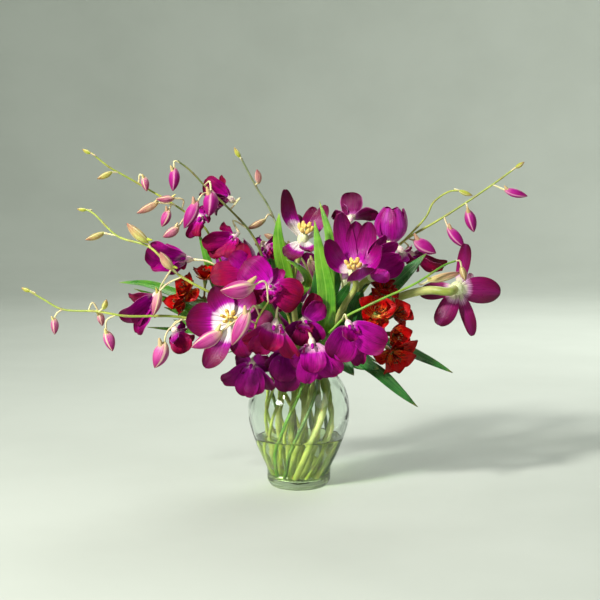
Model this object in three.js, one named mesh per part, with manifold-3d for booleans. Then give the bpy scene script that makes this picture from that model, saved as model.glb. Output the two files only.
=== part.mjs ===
// A mixed bouquet in a clear glass urn: purple tulips, dendrobium orchid sprays with
// hanging buds, and red alstroemeria. Millimetres, +Z up, origin at the middle of the
// vase's underside, -Y towards the viewer.
import * as THREE from 'three';
import { mergeVertices } from 'three/addons/utils/BufferGeometryUtils.js';
import Module from 'manifold-3d';

const wasm = await Module();
wasm.setup();

// ---------------------------------------------------------------- driving dimensions
const GAP = 0.3;                      // clear space kept round every piece

const VASE_FACETS = 20;
const VASE_OUTSIDE = [                // [radius, height] up the outside of the glass
  [27, 0], [34, 1.8], [37.8, 8], [38.5, 22], [45.6, 38], [53.2, 57], [60, 80], [60.9, 97.5],
  [56.7, 117], [47, 134], [37.7, 150], [39.6, 159], [44, 167],
];
const VASE_INSIDE = [                 // and down the inside, to the middle of the floor
  [41.8, 168.6], [36.2, 159], [34.3, 150.5], [43.8, 132.5], [53.4, 116], [57.4, 97.5],
  [56.6, 80.5], [49.8, 58], [35.6, 27], [31.5, 15], [28, 10.2],
];
const VASE_FLOOR = 9;                 // height of the glass floor on the axis
const WATER_LEVEL = 60;
const WATER_LOWEST = 10.6;

const STEM_FOOT = 12.2;               // height of the stems' cut ends
const NECK_HEIGHT = 152;
const STEM_TURN = 95;                 // degrees that the stems spiral between foot and neck
const RIM_HEIGHT = 172;               // where the stems pass the rim
const RINGS = {                       // where they stand: [radius at foot, belly, neck, rim]
  outer: [23.2, 40, 27, 31.5],
  middle: [15.5, 25, 17.5, 20.5],
  inner: [6, 10, 7.5, 9],
};

const TULIP_STEM = 3.5;               // radii of the stalks
const ORCHID_STEM = 2.2;
const ORCHID_STEM_TIP = 1.1;
const ALSTROEMERIA_STEM = 2.1;
const PEDICEL = 1.1;
const STALK_STEP = 34;                // length of the straight pieces that a stalk is drawn with

// ---------------------------------------------------------------- looks
const finish = (color, roughness, more = {}) =>
  new THREE.MeshStandardMaterial({ color, roughness, metalness: 0, ...more });
const GLASS = finish('#dfeee6', 0.05, { transparent: true, opacity: 0.35 });
const WATER = finish('#cfe0c0', 0.03, { transparent: true, opacity: 0.45 });
const STALK = finish('#7fa832', 0.5);
const SPRAY = finish('#9aae45', 0.5);
const FOLIAGE = finish('#2f6a2c', 0.5);
const TULIP = finish('#8d0f6e', 0.45);
const ORCHID = finish('#a80c7c', 0.45);
const RED = finish('#b3121a', 0.45);
const YELLOW = finish('#e8c64a', 0.6);

// ---------------------------------------------------------------- tulips
// at: where the petals join. face: the way the flower looks. petals: tip [x, y, z] from
// there, and half width. belly: how far a petal bows outwards, as a share of its length.
const TULIPS = [
  { name: 'tulip_1', at: [-77, -80, 210], face: [-0.1, -0.93, 0.35], belly: 0.12, stamens: true,
    ring: ['middle', -118], via: [[-24, -30, 172], [-56, -50, 194]],
    petals: [[-51, -4, -1, 20], [-19, 2, 39, 14], [24, 4, 34, 13], [48, 2, 3, 12],
      [19, 0, -42, 13], [-30, -4, -54, 13]] },
  { name: 'tulip_2', at: [5, -14, 298], face: [0.2, -0.45, 0.87], belly: 0.14, stamens: true,
    ring: ['inner', -100], via: [[-3, -6, 190], [-7, -6, 250]],
    petals: [[-21, 4, 59, 11.5], [28, 12, 40, 9], [-20, -27, -17, 12], [10, -23, -12, 10],
      [13, 24, 38, 9], [-7, 26, 29, 9]],
    leaves: [
      { spine: [[-5, -4, 215], [-17, -12, 262], [-24, -18, 300], [-23, -22, 330]], half: 9 },
      { spine: [[-2, -6, 222], [9, -26, 252], [0, -31, 267], [-15, -31, 276]], half: 7,
        face: [0.2, -0.7, 0.7] },
    ] },
  { name: 'tulip_3', at: [64, -55, 261], face: [-0.1, -0.62, 0.78], belly: 0.2, stamens: true,
    ring: ['middle', -28], via: [[34, -26, 188], [54, -36, 224]],
    petals: [[-33, -12, 38, 15], [-16, 8, 70, 11.5], [2, 14, 60, 11.5], [17, 8, 60, 11.5],
      [6, -34, 10, 16], [30, -14, 33, 13]],
    leaves: [
      { spine: [[20, -16, 164], [28, -48, 186], [32, -58, 235], [25, -57, 280], [18, -52, 323]],
        half: 11 },
      { spine: [[38, -28, 194], [35, -36, 250], [36, -36, 300], [24, -28, 344]], half: 7 },
    ] },
  { name: 'tulip_4', at: [87, -44, 258], face: [0.65, -0.55, 0.5], belly: 0.2,
    ring: ['middle', 17], via: [[42, -8, 190], [66, -22, 232]],
    petals: [[14, 4, 46, 11], [26, -8, 38, 11], [28, -18, 25, 11], [4, 12, 38, 10],
      [15, -26, 8, 11], [34, -2, 16, 11]] },
  { name: 'tulip_5', at: [110, 8, 293], face: [0.05, -0.05, 1], belly: 0.33,
    ring: ['inner', -10], via: [[34, 0, 190], [76, 6, 240]],
    cup: { height: 42, mouth: 9, half: 11.5 } },
  { name: 'tulip_6', at: [187, -12, 240], face: [0.5, 0.85, 0.1], belly: -0.05, stalk: 5.2,
    ring: ['outer', -5], via: [[58, 0, 194], [92, -8, 214], [120, -20, 231], [152, -24, 239]],
    petals: [[10, -4, 54, 8], [53, 4, -5, 16], [20, 6, -58, 8.5], [-22, -2, -44, 12],
      [-43, 12, -8, 10], [18, 40, 14, 10]] },
  { name: 'tulip_7', at: [-72, 62, 246], face: [-0.25, 0.35, 0.9], belly: 0.3,
    ring: ['outer', 118], via: [[-30, 38, 182], [-56, 52, 216]],
    cup: { height: 48, mouth: 12, half: 15 },
    leaves: [
      { spine: [[-26, 34, 176], [-40, 66, 196], [-56, 92, 224], [-74, 104, 262]], half: 10,
        face: [-0.3, 1, 0.2] },
    ] },
  { name: 'tulip_8', at: [58, 74, 240], face: [0.2, 0.5, 0.85], belly: 0.26,
    ring: ['outer', 55], via: [[32, 44, 180], [48, 60, 212]],
    cup: { height: 50, mouth: 18, half: 15 },
    leaves: [
      { spine: [[30, 40, 176], [54, 58, 190], [92, 76, 214], [120, 84, 250]], half: 10,
        face: [0.3, 1, 0.2] },
    ] },
];

// ---------------------------------------------------------------- orchid sprays
// way: the points that a spray runs through above the neck. buds: from base to tip, with
// the thickest radius, the place on the spray they hang from, and what they bend over.
const SPRAYS = [
  { name: 'orchid_spray_1', ring: ['outer', 148],
    way: [[-81, 30, 240], [-113, 28, 309], [-141, 22, 332], [-178, 18, 355], [-207, 14, 372],
      [-226, 12, 383], [-245, 5, 399]],
    buds: [
      { base: [-246, 5, 399], tip: [-256, 4, 404], r: 2.2 },
      { base: [-222, 9, 377], tip: [-239, 4, 369], r: 3.2, from: [-214, 13, 376] },
      { base: [-185, 13, 372], tip: [-181, 9, 354], r: 4.2, from: [-192, 16, 363], over: [-189, 13, 374] },
      { base: [-168, 14, 341], tip: [-193, 8, 328], r: 4.2, from: [-150, 21, 338] },
      { base: [-148, 8, 346], tip: [-169, 4, 345], r: 4, from: [-139, 22, 331], over: [-138, 12, 344] },
      { base: [-155, 12, 332], tip: [-163, 5, 312], r: 5.2, from: [-148, 21, 337], over: [-152, 14, 338] },
      { base: [-142, -8, 312], tip: [-160, -14, 301], r: 5, from: [-128, 25, 322], over: [-134, 4, 324] },
    ] },
  { name: 'orchid_spray_2', ring: ['middle', -163],
    way: [[-57, -40, 205], [-82, -52, 230], [-108, -60, 243], [-142, -63, 264], [-171, -57, 292],
      [-209, -47, 304], [-238, -38, 330], [-246, -36, 334]],
    buds: [
      { base: [-246, -36, 334], tip: [-257, -37, 335], r: 2 },
      { base: [-225, -44, 308], tip: [-246, -50, 300], r: 3.4, from: [-209, -47, 304] },
      { base: [-173, -60, 298], tip: [-196, -66, 320], r: 5.2, from: [-168, -58, 290] },
      { base: [-144, -71, 268], tip: [-157, -78, 288], r: 5, from: [-139, -63, 262] },
      { base: [-160, -64, 243], tip: [-167, -68, 214], r: 5, from: [-134, -62, 259], over: [-150, -66, 251] },
    ] },
  { name: 'orchid_spray_3', ring: ['outer', -152],
    way: [[-63, -26, 176], [-98, -38, 197], [-126, -48, 208], [-149, -55, 212], [-200, -62, 213],
      [-231, -60, 218], [-274, -54, 220], [-294, -50, 230], [-312, -46, 240]],
    buds: [
      { base: [-311, -46, 240], tip: [-322, -45, 244], r: 2.2 },
      { base: [-283, -55, 210], tip: [-282, -58, 191], r: 4.2, from: [-272, -54, 219], over: [-279, -55, 216] },
      { base: [-225, -64, 221], tip: [-220, -70, 233], r: 3, from: [-231, -60, 218] },
      { base: [-231, -53, 216], tip: [-228, -50, 200], r: 4, from: [-243, -60, 219], over: [-238, -56, 228] },
      { base: [-222, -64, 196], tip: [-214, -68, 173], r: 5.8, from: [-211, -62, 214], over: [-221, -64, 208] },
      { base: [-155, -56, 181], tip: [-167, -58, 152], r: 8.2, from: [-132, -50, 210], over: [-152, -56, 194] },
    ] },
  { name: 'orchid_spray_4', ring: ['inner', 170],
    way: [[-32, 5, 220], [-43, 5, 275], [-58, 5, 306], [-87, 0, 338], [-108, -4, 358],
      [-129, -6, 380], [-142, -8, 390]],
    buds: [
      { base: [-146, -10, 382], tip: [-148, -12, 355], r: 5.8, from: [-140, -8, 389], over: [-146, -9, 390] },
      { base: [-102, -24, 355], tip: [-105, -30, 326], r: 8, from: [-112, -5, 362], over: [-104, -20, 366] },
      { base: [-119, -20, 343], tip: [-134, -26, 312], r: 6.8, from: [-100, -3, 350], over: [-112, -16, 352] },
    ] },
  { name: 'orchid_spray_5', ring: ['middle', 107],
    way: [[-9, 26, 215], [-17, 26, 283], [-37, 28, 336], [-49, 27, 355], [-69, 24, 393]],
    buds: [
      { base: [-70, 24, 394], tip: [-77, 22, 406], r: 2.6 },
      { base: [-48, 22, 363], tip: [-50, 18, 380], r: 3.8, from: [-52, 27, 361] },
      { base: [-40, 20, 320], tip: [-62, 12, 309], r: 3.6, from: [-31, 28, 322], over: [-36, 22, 326] },
    ] },
  { name: 'orchid_spray_6', ring: ['inner', 80],
    way: [[30, 20, 200], [88, 24, 250], [110, 26, 278], [128, 24, 295], [164, 19, 317],
      [187, 13, 332], [229, 0, 362], [255, -7, 382]],
    buds: [
      { base: [255, -7, 382], tip: [265, -9, 389], r: 2.4 },
      { base: [243, -6, 356], tip: [269, -12, 349], r: 4.6, from: [229, 0, 362] },
      { base: [201, 6, 332], tip: [208, 0, 306], r: 6.2, from: [199, 9, 340], over: [200, 7, 338] },
      { base: [178, 9, 311], tip: [197, 2, 288], r: 5.8, from: [174, 16, 323], over: [176, 12, 317] },
      { base: [138, 8, 296], tip: [163, -2, 281], r: 7.4, from: [130, 24, 296] },
    ] },
  { name: 'orchid_spray_7', ring: ['outer', 25],
    way: [[56, 36, 200], [105, 45, 267], [124, 46, 288], [155, 45, 322], [164, 43, 340],
      [183, 40, 353], [194, 38, 354]],
    buds: [
      { base: [194, 38, 354], tip: [210, 36, 348], r: 2.8 },
    ] },
  { name: 'orchid_spray_8', ring: ['outer', -65],
    way: [[22, -42, 177], [36, -62, 194], [53, -68, 212], [75, -78, 225], [97, -82, 236],
      [132, -80, 252], [167, -72, 273], [179, -68, 277]],
    buds: [
      { base: [186, -66, 270], tip: [191, -66, 254], r: 3.6, from: [179, -68, 277], over: [184, -67, 277] },
      { base: [148, -66, 254], tip: [187, -58, 263], r: 4.4, from: [134, -79, 253], over: [140, -70, 250] },
    ] },
  { name: 'orchid_spray_9', ring: ['outer', -125],
    way: [[-36, -46, 176], [-49, -78, 199], [-44, -98, 218], [-34, -106, 234]],
    buds: [
      { base: [-50, -116, 253], tip: [-86, -128, 249], r: 9, from: [-34, -106, 233], over: [-38, -114, 258] },
      { base: [-56, -112, 224], tip: [-74, -126, 188], r: 7.6, from: [-44, -98, 218], over: [-50, -108, 230] },
      { base: [-86, -116, 202], tip: [-119, -122, 185], r: 7.6, from: [-47, -86, 207], over: [-64, -108, 216] },
    ] },
  { name: 'orchid_spray_10', ring: ['middle', -73],
    way: [[-4, -38, 185], [-16, -50, 220], [-34, -46, 243], [-62, -26, 256], [-92, -28, 266]],
    buds: [] },
  { name: 'orchid_spray_11', ring: ['outer', -95],
    way: [[0, -46, 178], [-8, -58, 185], [-24, -62, 183], [-40, -58, 172]],
    buds: [] },
  { name: 'orchid_spray_12', ring: ['middle', 62],
    way: [[14, 50, 200], [16, 82, 240], [-4, 104, 276], [-30, 114, 292]],
    buds: [
      { base: [-30, 114, 292], tip: [-44, 120, 296], r: 3.6 },
      { base: [-14, 116, 284], tip: [-14, 130, 262], r: 6, from: [-10, 106, 280], over: [-13, 113, 288] },
      { base: [14, 100, 262], tip: [26, 120, 242], r: 7, from: [8, 92, 256], over: [13, 98, 266] },
    ] },
];

// ---------------------------------------------------------------- orchid blooms
// on, from, over: the spray that carries the bloom, where, and what its pedicel bends over.
const ORCHIDS = [
  { name: 'orchid_bloom_1', at: [-32, -72, 247], face: [0.1, -0.97, 0.2],
    on: 'orchid_spray_10', from: [-24, -49, 235], over: [-30, -56, 246],
    petals: [[-31, 4, 30, 17], [36, 2, -14, 17], [9, 10, 22, 8], [-24, 8, -16, 8],
      [16, 10, -29, 8], [-3, -12, -17, 7]] },
  { name: 'orchid_bloom_2', at: [-58, -42, 262], face: [-0.5, -0.8, 0.3],
    on: 'orchid_spray_10', from: [-50, -36, 250], over: [-52, -32, 258],
    petals: [[-45, -6, -6, 14], [-22, 0, 20, 13], [-8, -2, 34, 9], [14, 8, 18, 9],
      [10, 6, -22, 9]] },
  { name: 'orchid_bloom_3', at: [-76, -12, 302], face: [-0.6, -0.7, -0.35],
    on: 'orchid_spray_4', from: [-62, 4, 311], over: [-78, 2, 320],
    petals: [[-38, -8, -8, 10], [-30, -2, -24, 9], [-9, -10, -25, 9], [-14, -4, 16, 6],
      [13, -6, -24, 7]] },
  { name: 'orchid_bloom_4', at: [-42, 18, 287], face: [-0.3, -0.8, -0.5],
    on: 'orchid_spray_4', from: [-47, 5, 285], over: [-44, 16, 294],
    petals: [[24, -4, 3, 5], [21, -6, -12, 7], [5, -4, -15, 7], [16, 6, 12, 5], [-9, 6, 12, 6]] },
  { name: 'orchid_bloom_5', at: [-83, 13, 345], face: [-0.85, -0.2, 0.45],
    on: 'orchid_spray_4', from: [-80, 1, 332], over: [-70, 10, 346],
    petals: [[-31, 6, 21, 13], [-35, -10, 8, 9], [-10, 6, 28, 6], [-19, 2, -18, 8],
      [-27, -6, -1, 8]] },
  { name: 'orchid_bloom_6', at: [-117, 6, 325], face: [-0.3, -0.6, -0.7],
    on: 'orchid_spray_1', from: [-120, 27, 314], over: [-116, 18, 328],
    petals: [[-15, -6, -26, 6], [-4, -10, -24, 6], [12, -5, -4, 6], [-13, -1, 4, 5],
      [5, -6, 12, 5]] },
  { name: 'orchid_bloom_7', at: [-131, -30, 276], face: [-0.75, -0.62, 0.1],
    on: 'orchid_spray_10', from: [-92, -28, 266], over: [-108, -29, 274],
    petals: [[-43, -27, 14, 16], [-41, -14, -8, 10], [-24, -18, -6, 7], [-22, 2, -16, 7],
      [-30, 16, 12, 9]] },
  { name: 'orchid_bloom_8', at: [-169, -24, 232], face: [-0.7, -0.3, -0.65],
    on: 'orchid_spray_2', from: [-146, -62, 268], over: [-160, -40, 246],
    petals: [[-42, -6, -25, 17], [-22, 4, -46, 9], [-1, -14, -24, 6], [-33, 12, -4, 9],
      [-25, -2, -33, 8]] },
  { name: 'orchid_bloom_9', at: [-145, -30, 191], face: [0.35, -0.55, -0.75],
    on: 'orchid_spray_3', from: [-124, -47, 207], over: [-142, -34, 204],
    petals: [[11, -6, -25, 11], [21, 2, -13, 8], [9, 6, 13, 7], [14, 12, 0, 7], [2, -14, -11, 6]] },
  { name: 'orchid_bloom_10', at: [-27, -86, 206], face: [-0.15, -0.75, -0.65],
    on: 'orchid_spray_10', from: [-14, -48, 215], over: [-24, -78, 224],
    petals: [[-36, -2, -22, 12], [-9, -14, -27, 13], [24, 2, -40, 10], [-27, 10, -34, 12],
      [10, 12, -34, 12]] },
  { name: 'orchid_bloom_11', at: [-54, -62, 158], face: [-0.2, -0.75, -0.6],
    on: 'orchid_spray_11', from: [-40, -58, 172], over: [-48, -56, 168],
    petals: [[-18, -2, 11, 12], [22, -8, 4, 13], [-8, 0, -40, 12], [7, -6, -36, 12],
      [22, 4, -34, 12], [-34, -2, -24, 11]] },
  { name: 'orchid_bloom_12', at: [-15, -66, 172], face: [0, -0.8, -0.6],
    on: 'orchid_spray_11', from: [-12, -59, 185], over: [-13, -60, 182],
    petals: [[3, 0, -48, 13], [-8, -8, -33, 14], [17, -8, -21, 13], [-18, 2, -22, 13]] },
  { name: 'orchid_bloom_13', at: [15, -80, 184], face: [0.1, -0.8, -0.6],
    on: 'orchid_spray_11', from: [-2, -50, 178], over: [10, -66, 198],
    petals: [[-7, -4, -47, 11], [2, -10, -33, 13], [31, 0, -38, 13], [14, 8, -43, 12],
      [-18, 4, -31, 11]] },
  { name: 'orchid_bloom_14', at: [7, -66, 208], face: [0.2, -0.8, -0.2],
    on: 'orchid_spray_10', from: [-8, -41, 196], over: [0, -50, 206],
    petals: [[21, -8, 21, 11], [-4, -8, -29, 10], [12, -2, 32, 10], [-18, 2, -21, 11],
      [18, 4, -24, 10]] },
  { name: 'orchid_bloom_15', at: [57, -86, 206], face: [0.2, -0.85, -0.5],
    on: 'orchid_spray_8', from: [51, -67, 210], over: [53, -80, 217],
    petals: [[-16, -6, -40, 17], [43, -6, -22, 16], [0, -14, -16, 9], [13, 8, -48, 9],
      [23, 6, -36, 9]] },
  { name: 'orchid_bloom_16', at: [122, 2, 282], face: [0.3, -0.5, -0.8],
    on: 'orchid_spray_6', from: [112, 26, 280], over: [118, 14, 290],
    petals: [[-9, -8, -32, 12], [18, -4, -13, 8], [3, -12, -13, 6], [-20, 6, -14, 9],
      [14, 8, 5, 6]] },
  { name: 'orchid_bloom_17', at: [62, 10, 323], face: [0.2, 0.6, 0.7],
    on: 'orchid_spray_7', from: [62, 37, 206], over: [46, 14, 296],
    petals: [[0, 6, 30, 12.5], [34, 6, 3, 10], [-21, 14, 0, 8], [-7, 18, 14, 7], [12, 22, 4, 7]] },
  { name: 'orchid_bloom_18', at: [136, 20, 278], face: [0.7, -0.2, -0.6],
    on: 'orchid_spray_6', from: [127, 24, 294], over: [132, 23, 288],
    petals: [[38, 0, -20, 8], [44, 8, -12, 7], [10, -4, -20, 7], [22, 12, 4, 6]] },
  { name: 'orchid_bloom_19', at: [10, 112, 238], face: [0.1, 0.95, 0.1],
    on: 'orchid_spray_12', from: [16, 84, 242], over: [14, 92, 246],
    petals: [[-30, 4, 16, 16], [32, 4, 12, 16], [2, 2, 36, 9], [-18, 4, -30, 9],
      [20, 4, -28, 9]] },
  { name: 'orchid_bloom_20', at: [-26, 88, 206], face: [-0.35, 0.85, -0.25],
    on: 'orchid_spray_12', from: [15, 58, 208], over: [-6, 76, 216],
    petals: [[-34, -6, 12, 15], [28, 10, 14, 14], [-4, 6, 33, 8], [-20, -4, -30, 9],
      [14, 6, -32, 9]] },
];

// ---------------------------------------------------------------- alstroemeria
const ALSTROEMERIAS = [
  { name: 'alstroemeria_right', ring: ['outer', -35], hub: [84, -26, 192],
    way: [[44, -28, 174], [66, -28, 182]],
    florets: [
      { at: [98, -40, 236], petals: [[-6, -4, 24, 9], [14, -4, 17, 9], [18, -8, -2, 9],
        [-14, 0, 14, 8], [-12, -8, -2, 8]] },
      { at: [89, -54, 214], petals: [[-18, -8, 20, 9], [4, -10, 22, 8], [24, -6, 12, 9],
        [4, -12, -19, 9.5], [-14, -10, -8, 9]] },
      { at: [110, -42, 212], petals: [[20, -2, 12, 8.5], [24, -6, -4, 8.5], [14, -8, -16, 8],
        [4, -8, 20, 8], [17, 10, 2, 7]] },
      { at: [108, -50, 190], petals: [[24, -6, 4, 8], [22, -6, -10, 8], [6, -10, -16, 8]] },
      { at: [107, -54, 170], petals: [[31, -6, 14, 9], [29, -8, -5, 9.5], [10, -8, -24, 9],
        [-7, -6, -26, 9.5], [-21, -8, -4, 9], [8, -10, 14, 8]] },
    ],
    leaves: [
      { spine: [[64, -28, 181], [88, -17, 222], [124, -14, 256], [151, -14, 282]], half: 11 },
      { spine: [[60, -28, 178], [68, -46, 162], [92, -58, 146], [118, -60, 124], [139, -60, 106]],
        half: 8.5, face: [0.4, -0.8, 0.5] },
      { spine: [[54, -28, 175], [66, -50, 164], [92, -66, 152]], half: 13, face: [0, -0.8, -0.3] },
      { spine: [[64, -28, 179], [108, -26, 176], [146, -38, 160], [181, -40, 143]], half: 8.5,
        face: [0.2, -0.7, 0.7] },
      { spine: [[50, -28, 173], [52, -46, 160], [64, -60, 143]], half: 10 },
      { spine: [[62, -28, 180], [60, -32, 214], [72, -28, 240], [86, -24, 248]], half: 4.5 },
    ] },
  { name: 'alstroemeria_left', ring: ['outer', 178], hub: [-112, -14, 226],
    way: [[-52, -4, 176], [-84, -8, 202]],
    florets: [
      { at: [-128, -26, 240], petals: [[-16, -6, 12, 8], [-3, 0, 18, 8], [8, -8, -12, 8],
        [-14, -2, -15, 8], [-9, -14, 0, 7]] },
      { at: [-110, -22, 252], petals: [[-13, -4, 13, 8], [8, -2, 17, 8], [-4, 8, 17, 7],
        [16, -8, 0, 8], [3, -12, 12, 7]] },
      { at: [-134, -22, 226], petals: [[-26, -4, 0, 6], [-16, -10, -8, 6.5], [-8, -2, -14, 6]] },
    ],
    leaves: [
      { spine: [[-84, -8, 202], [-128, 0, 224], [-176, -16, 244], [-211, -30, 249]], half: 9,
        face: [0, -0.6, 0.8] },
      { spine: [[-78, -7, 197], [-130, 4, 214], [-168, -10, 230], [-194, -24, 241]], half: 4.5 },
      { spine: [[-74, -7, 194], [-122, -2, 204], [-160, -14, 218]], half: 5 },
      { spine: [[-64, -6, 186], [-112, 0, 192], [-150, -6, 202]], half: 5.5 },
      { spine: [[-58, -5, 180], [-120, 6, 186], [-181, -6, 193]], half: 3.5 },
      { spine: [[-80, -8, 199], [-104, 10, 256], [-120, 4, 308]], half: 6 },
      { spine: [[-76, -8, 196], [-86, -18, 246], [-112, -20, 274]], half: 6.5 },
    ] },
  { name: 'alstroemeria_back', ring: ['outer', 86], hub: [6, 80, 192],
    way: [[6, 48, 178]],
    florets: [
      { at: [-16, 102, 190], petals: [[-16, 6, 14, 6], [10, 8, 16, 6], [-20, 6, -8, 6],
        [-4, 10, -20, 6], [14, 12, -6, 6]] },
      { at: [26, 102, 192], petals: [[-10, 8, 18, 6], [14, 6, 16, 6], [20, 6, -4, 6],
        [4, 10, -20, 6], [-14, 10, -8, 6]] },
      { at: [6, 106, 168], petals: [[-18, 6, -4, 6], [16, 6, -6, 6], [0, 8, -20, 6], [8, 12, 12, 5],
        [-10, 12, 10, 5]] },
    ],
    leaves: [
      { spine: [[6, 52, 178], [-26, 80, 166], [-58, 98, 158], [-92, 104, 146]], half: 9,
        face: [0, 0.6, 0.8] },
      { spine: [[6, 54, 179], [40, 82, 164], [72, 94, 150], [100, 98, 134]], half: 9,
        face: [0, 0.6, 0.8] },
      { spine: [[6, 62, 182], [44, 92, 208], [64, 110, 208], [80, 118, 226]], half: 7,
        face: [0, 0.8, 0.4] },
      { spine: [[6, 60, 181], [-40, 96, 178], [-66, 94, 202], [-90, 98, 226]], half: 8,
        face: [0, 0.8, 0.5] },
      { spine: [[6, 50, 178], [26, 44, 212], [42, 38, 246], [52, 30, 282]], half: 13,
        face: [0, -1, 0.3] },
      { spine: [[6, 50, 178], [-14, 46, 212], [-30, 44, 246], [-36, 40, 284]], half: 13,
        face: [0, -1, 0.3] },
    ] },
];

// ---------------------------------------------------------------- lofted solids
const vec = (p) => new THREE.Vector3(...p);
const along = (origin, ...pairs) => {
  const point = origin.clone();
  for (const [direction, distance] of pairs) point.addScaledVector(direction, distance);
  return point;
};

// A closed skin over a row of rings, with a point at each end. The far half of each ring is
// split the mirrored way, so both faces of a thin blade are cut into the same triangles.
function loft(rings, start, end) {
  const sides = rings[0].length;
  const points = [...rings.flat(), start, end];
  const startIndex = points.length - 2;
  const endIndex = points.length - 1;
  const faces = [];
  for (let i = 0; i < rings.length - 1; i += 1) {
    for (let j = 0; j < sides; j += 1) {
      const next = (j + 1) % sides;
      const [a, b] = [i * sides + j, i * sides + next];
      const [c, d] = [a + sides, b + sides];
      if (j < sides / 2) faces.push([a, b, c], [b, d, c]);
      else faces.push([a, b, d], [a, d, c]);
    }
  }
  const last = (rings.length - 1) * sides;
  for (let j = 0; j < sides; j += 1) {
    const next = (j + 1) % sides;
    faces.push([startIndex, next, j], [endIndex, last + j, last + next]);
  }
  let volume = 0;
  for (const [a, b, c] of faces) {
    volume += points[a].dot(new THREE.Vector3().crossVectors(points[b], points[c]));
  }
  if (volume < 0) faces.forEach((face) => face.reverse());
  const geometry = new THREE.BufferGeometry().setFromPoints(points);
  geometry.setIndex(faces.flat());
  return geometry;
}

function asSolid(geometry) {
  const bare = geometry.clone();
  bare.deleteAttribute('normal');
  bare.deleteAttribute('uv');
  const merged = mergeVertices(bare, 1e-4);
  return new wasm.Manifold(new wasm.Mesh({
    numProp: 3,
    vertProperties: new Float32Array(merged.attributes.position.array),
    triVerts: new Uint32Array(merged.index.array),
  }));
}

const union = (solids) => solids.reduce((whole, piece) => whole.add(piece));

// A round rod through a row of points, with a radius at each; it never twists.
function rod(points, radii, sides, grow) {
  const tangents = points.map((point, i) => {
    const before = points[Math.max(0, i - 1)];
    const after = points[Math.min(points.length - 1, i + 1)];
    return after.clone().sub(point).normalize().add(point.clone().sub(before).normalize()).normalize();
  });
  let across = new THREE.Vector3(0.31, 0.55, 0.77).cross(tangents[0]).normalize();
  const rings = points.map((point, i) => {
    across = along(across, [tangents[i], -across.dot(tangents[i])]).normalize();
    const other = tangents[i].clone().cross(across);
    const radius = radii[i] + grow;
    return Array.from({ length: sides }, (_, j) => {
      const angle = (j / sides) * 2 * Math.PI;
      return along(point, [across, radius * Math.cos(angle)], [other, radius * Math.sin(angle)]);
    });
  });
  const tip = Math.min(radii.at(-1), 1.2) * 0.5;
  return asSolid(loft(rings, along(points[0], [tangents[0], -grow]),
    along(points.at(-1), [tangents.at(-1), tip + grow])));
}

const spaced = (curve, steps) => Array.from({ length: steps + 1 }, (_, i) => curve.getPointAt(i / steps));
const tapering = (points, start, end) =>
  points.map((_, i) => THREE.MathUtils.lerp(start, end, i / (points.length - 1)));

// A body of revolution between two points, with radii given along it.
function spindle(from, to, profile, sides, grow) {
  const points = profile.map(([share]) => from.clone().lerp(to, share));
  return rod(points, profile.map(([, radius]) => radius), sides, grow);
}

// One cross section of a blade: two thin rims and a midrib on the outer side. A grown
// section has a rim of its own, so that it stays clear of the blade all round.
function bladeSection(centre, lateral, normal, halfWidth, thick, cup, grow) {
  const width = halfWidth + grow;
  const rim = cup * halfWidth;
  if (grow === 0) {
    return [
      along(centre, [lateral, -width], [normal, rim]),
      along(centre, [lateral, width], [normal, rim]),
      along(centre, [normal, -thick]),
    ];
  }
  return [
    along(centre, [lateral, -width], [normal, rim + grow]),
    along(centre, [lateral, width], [normal, rim + grow]),
    along(centre, [lateral, width], [normal, rim - grow]),
    along(centre, [normal, -thick - grow * 1.2]),
    along(centre, [lateral, -width], [normal, rim - grow]),
  ];
}

// ---------------------------------------------------------------- petals and leaves
// root: where a petal starts, from the flower's axis. sections: [share of the length, share
// of the half width]. nest: neighbouring petals start this far above and below each other.
const PETAL_SHAPES = {
  tulip: { sections: [[0.22, 0.72], [0.56, 1.06], [0.88, 0.74]], cup: 0.14, thick: 1.4,
    root: 4, nest: 1.6 },
  orchid: { sections: [[0.3, 0.92], [0.76, 1.14]], cup: 0.04, thick: 1.5, root: 2.6, nest: 1.3 },
  alstroemeria: { sections: [[0.3, 0.7], [0.78, 1.2]], cup: 0.08, thick: 1.4, root: 1.2, nest: 0.7 },
};

// A petal from the flower's middle to its tip, bowed in the plane of the flower's axis.
function petal(at, face, [x, y, z, half], kind, belly, whorl, grow) {
  const shape = PETAL_SHAPES[kind];
  const tip = new THREE.Vector3(x, y, z);
  const height = tip.dot(face);
  const radial = along(tip, [face, -height]);
  const reach = radial.length();
  radial.normalize();
  const lateral = face.clone().cross(radial);
  const length = Math.hypot(reach, height);
  const bow = 2 * belly * length;
  const curve = new THREE.QuadraticBezierCurve(
    new THREE.Vector2(shape.root, whorl * shape.nest),
    new THREE.Vector2((shape.root + reach) / 2 + (bow * height) / length,
      height / 2 - (bow * reach) / length),
    new THREE.Vector2(reach, height),
  );
  const place = (p) => along(at, [radial, p.x], [face, p.y]);
  const section = (u, width, thick) => {
    const slope = curve.getTangent(u);
    const normal = along(new THREE.Vector3(), [radial, -slope.y], [face, slope.x]);
    return bladeSection(place(curve.getPoint(u)), lateral, normal, width, thick, shape.cup, grow);
  };
  const rings = shape.sections.map(([u, width]) =>
    section(u, half * width, shape.thick * (1 - 0.5 * u)));
  if (grow > 0) rings.push(section(1, 0, 0));
  const out = curve.getTangent(1);
  const end = along(place(curve.getPoint(1)), [radial, out.x * grow], [face, out.y * grow]);
  return asSolid(loft(rings, place(curve.getPoint(0)), end));
}

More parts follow.
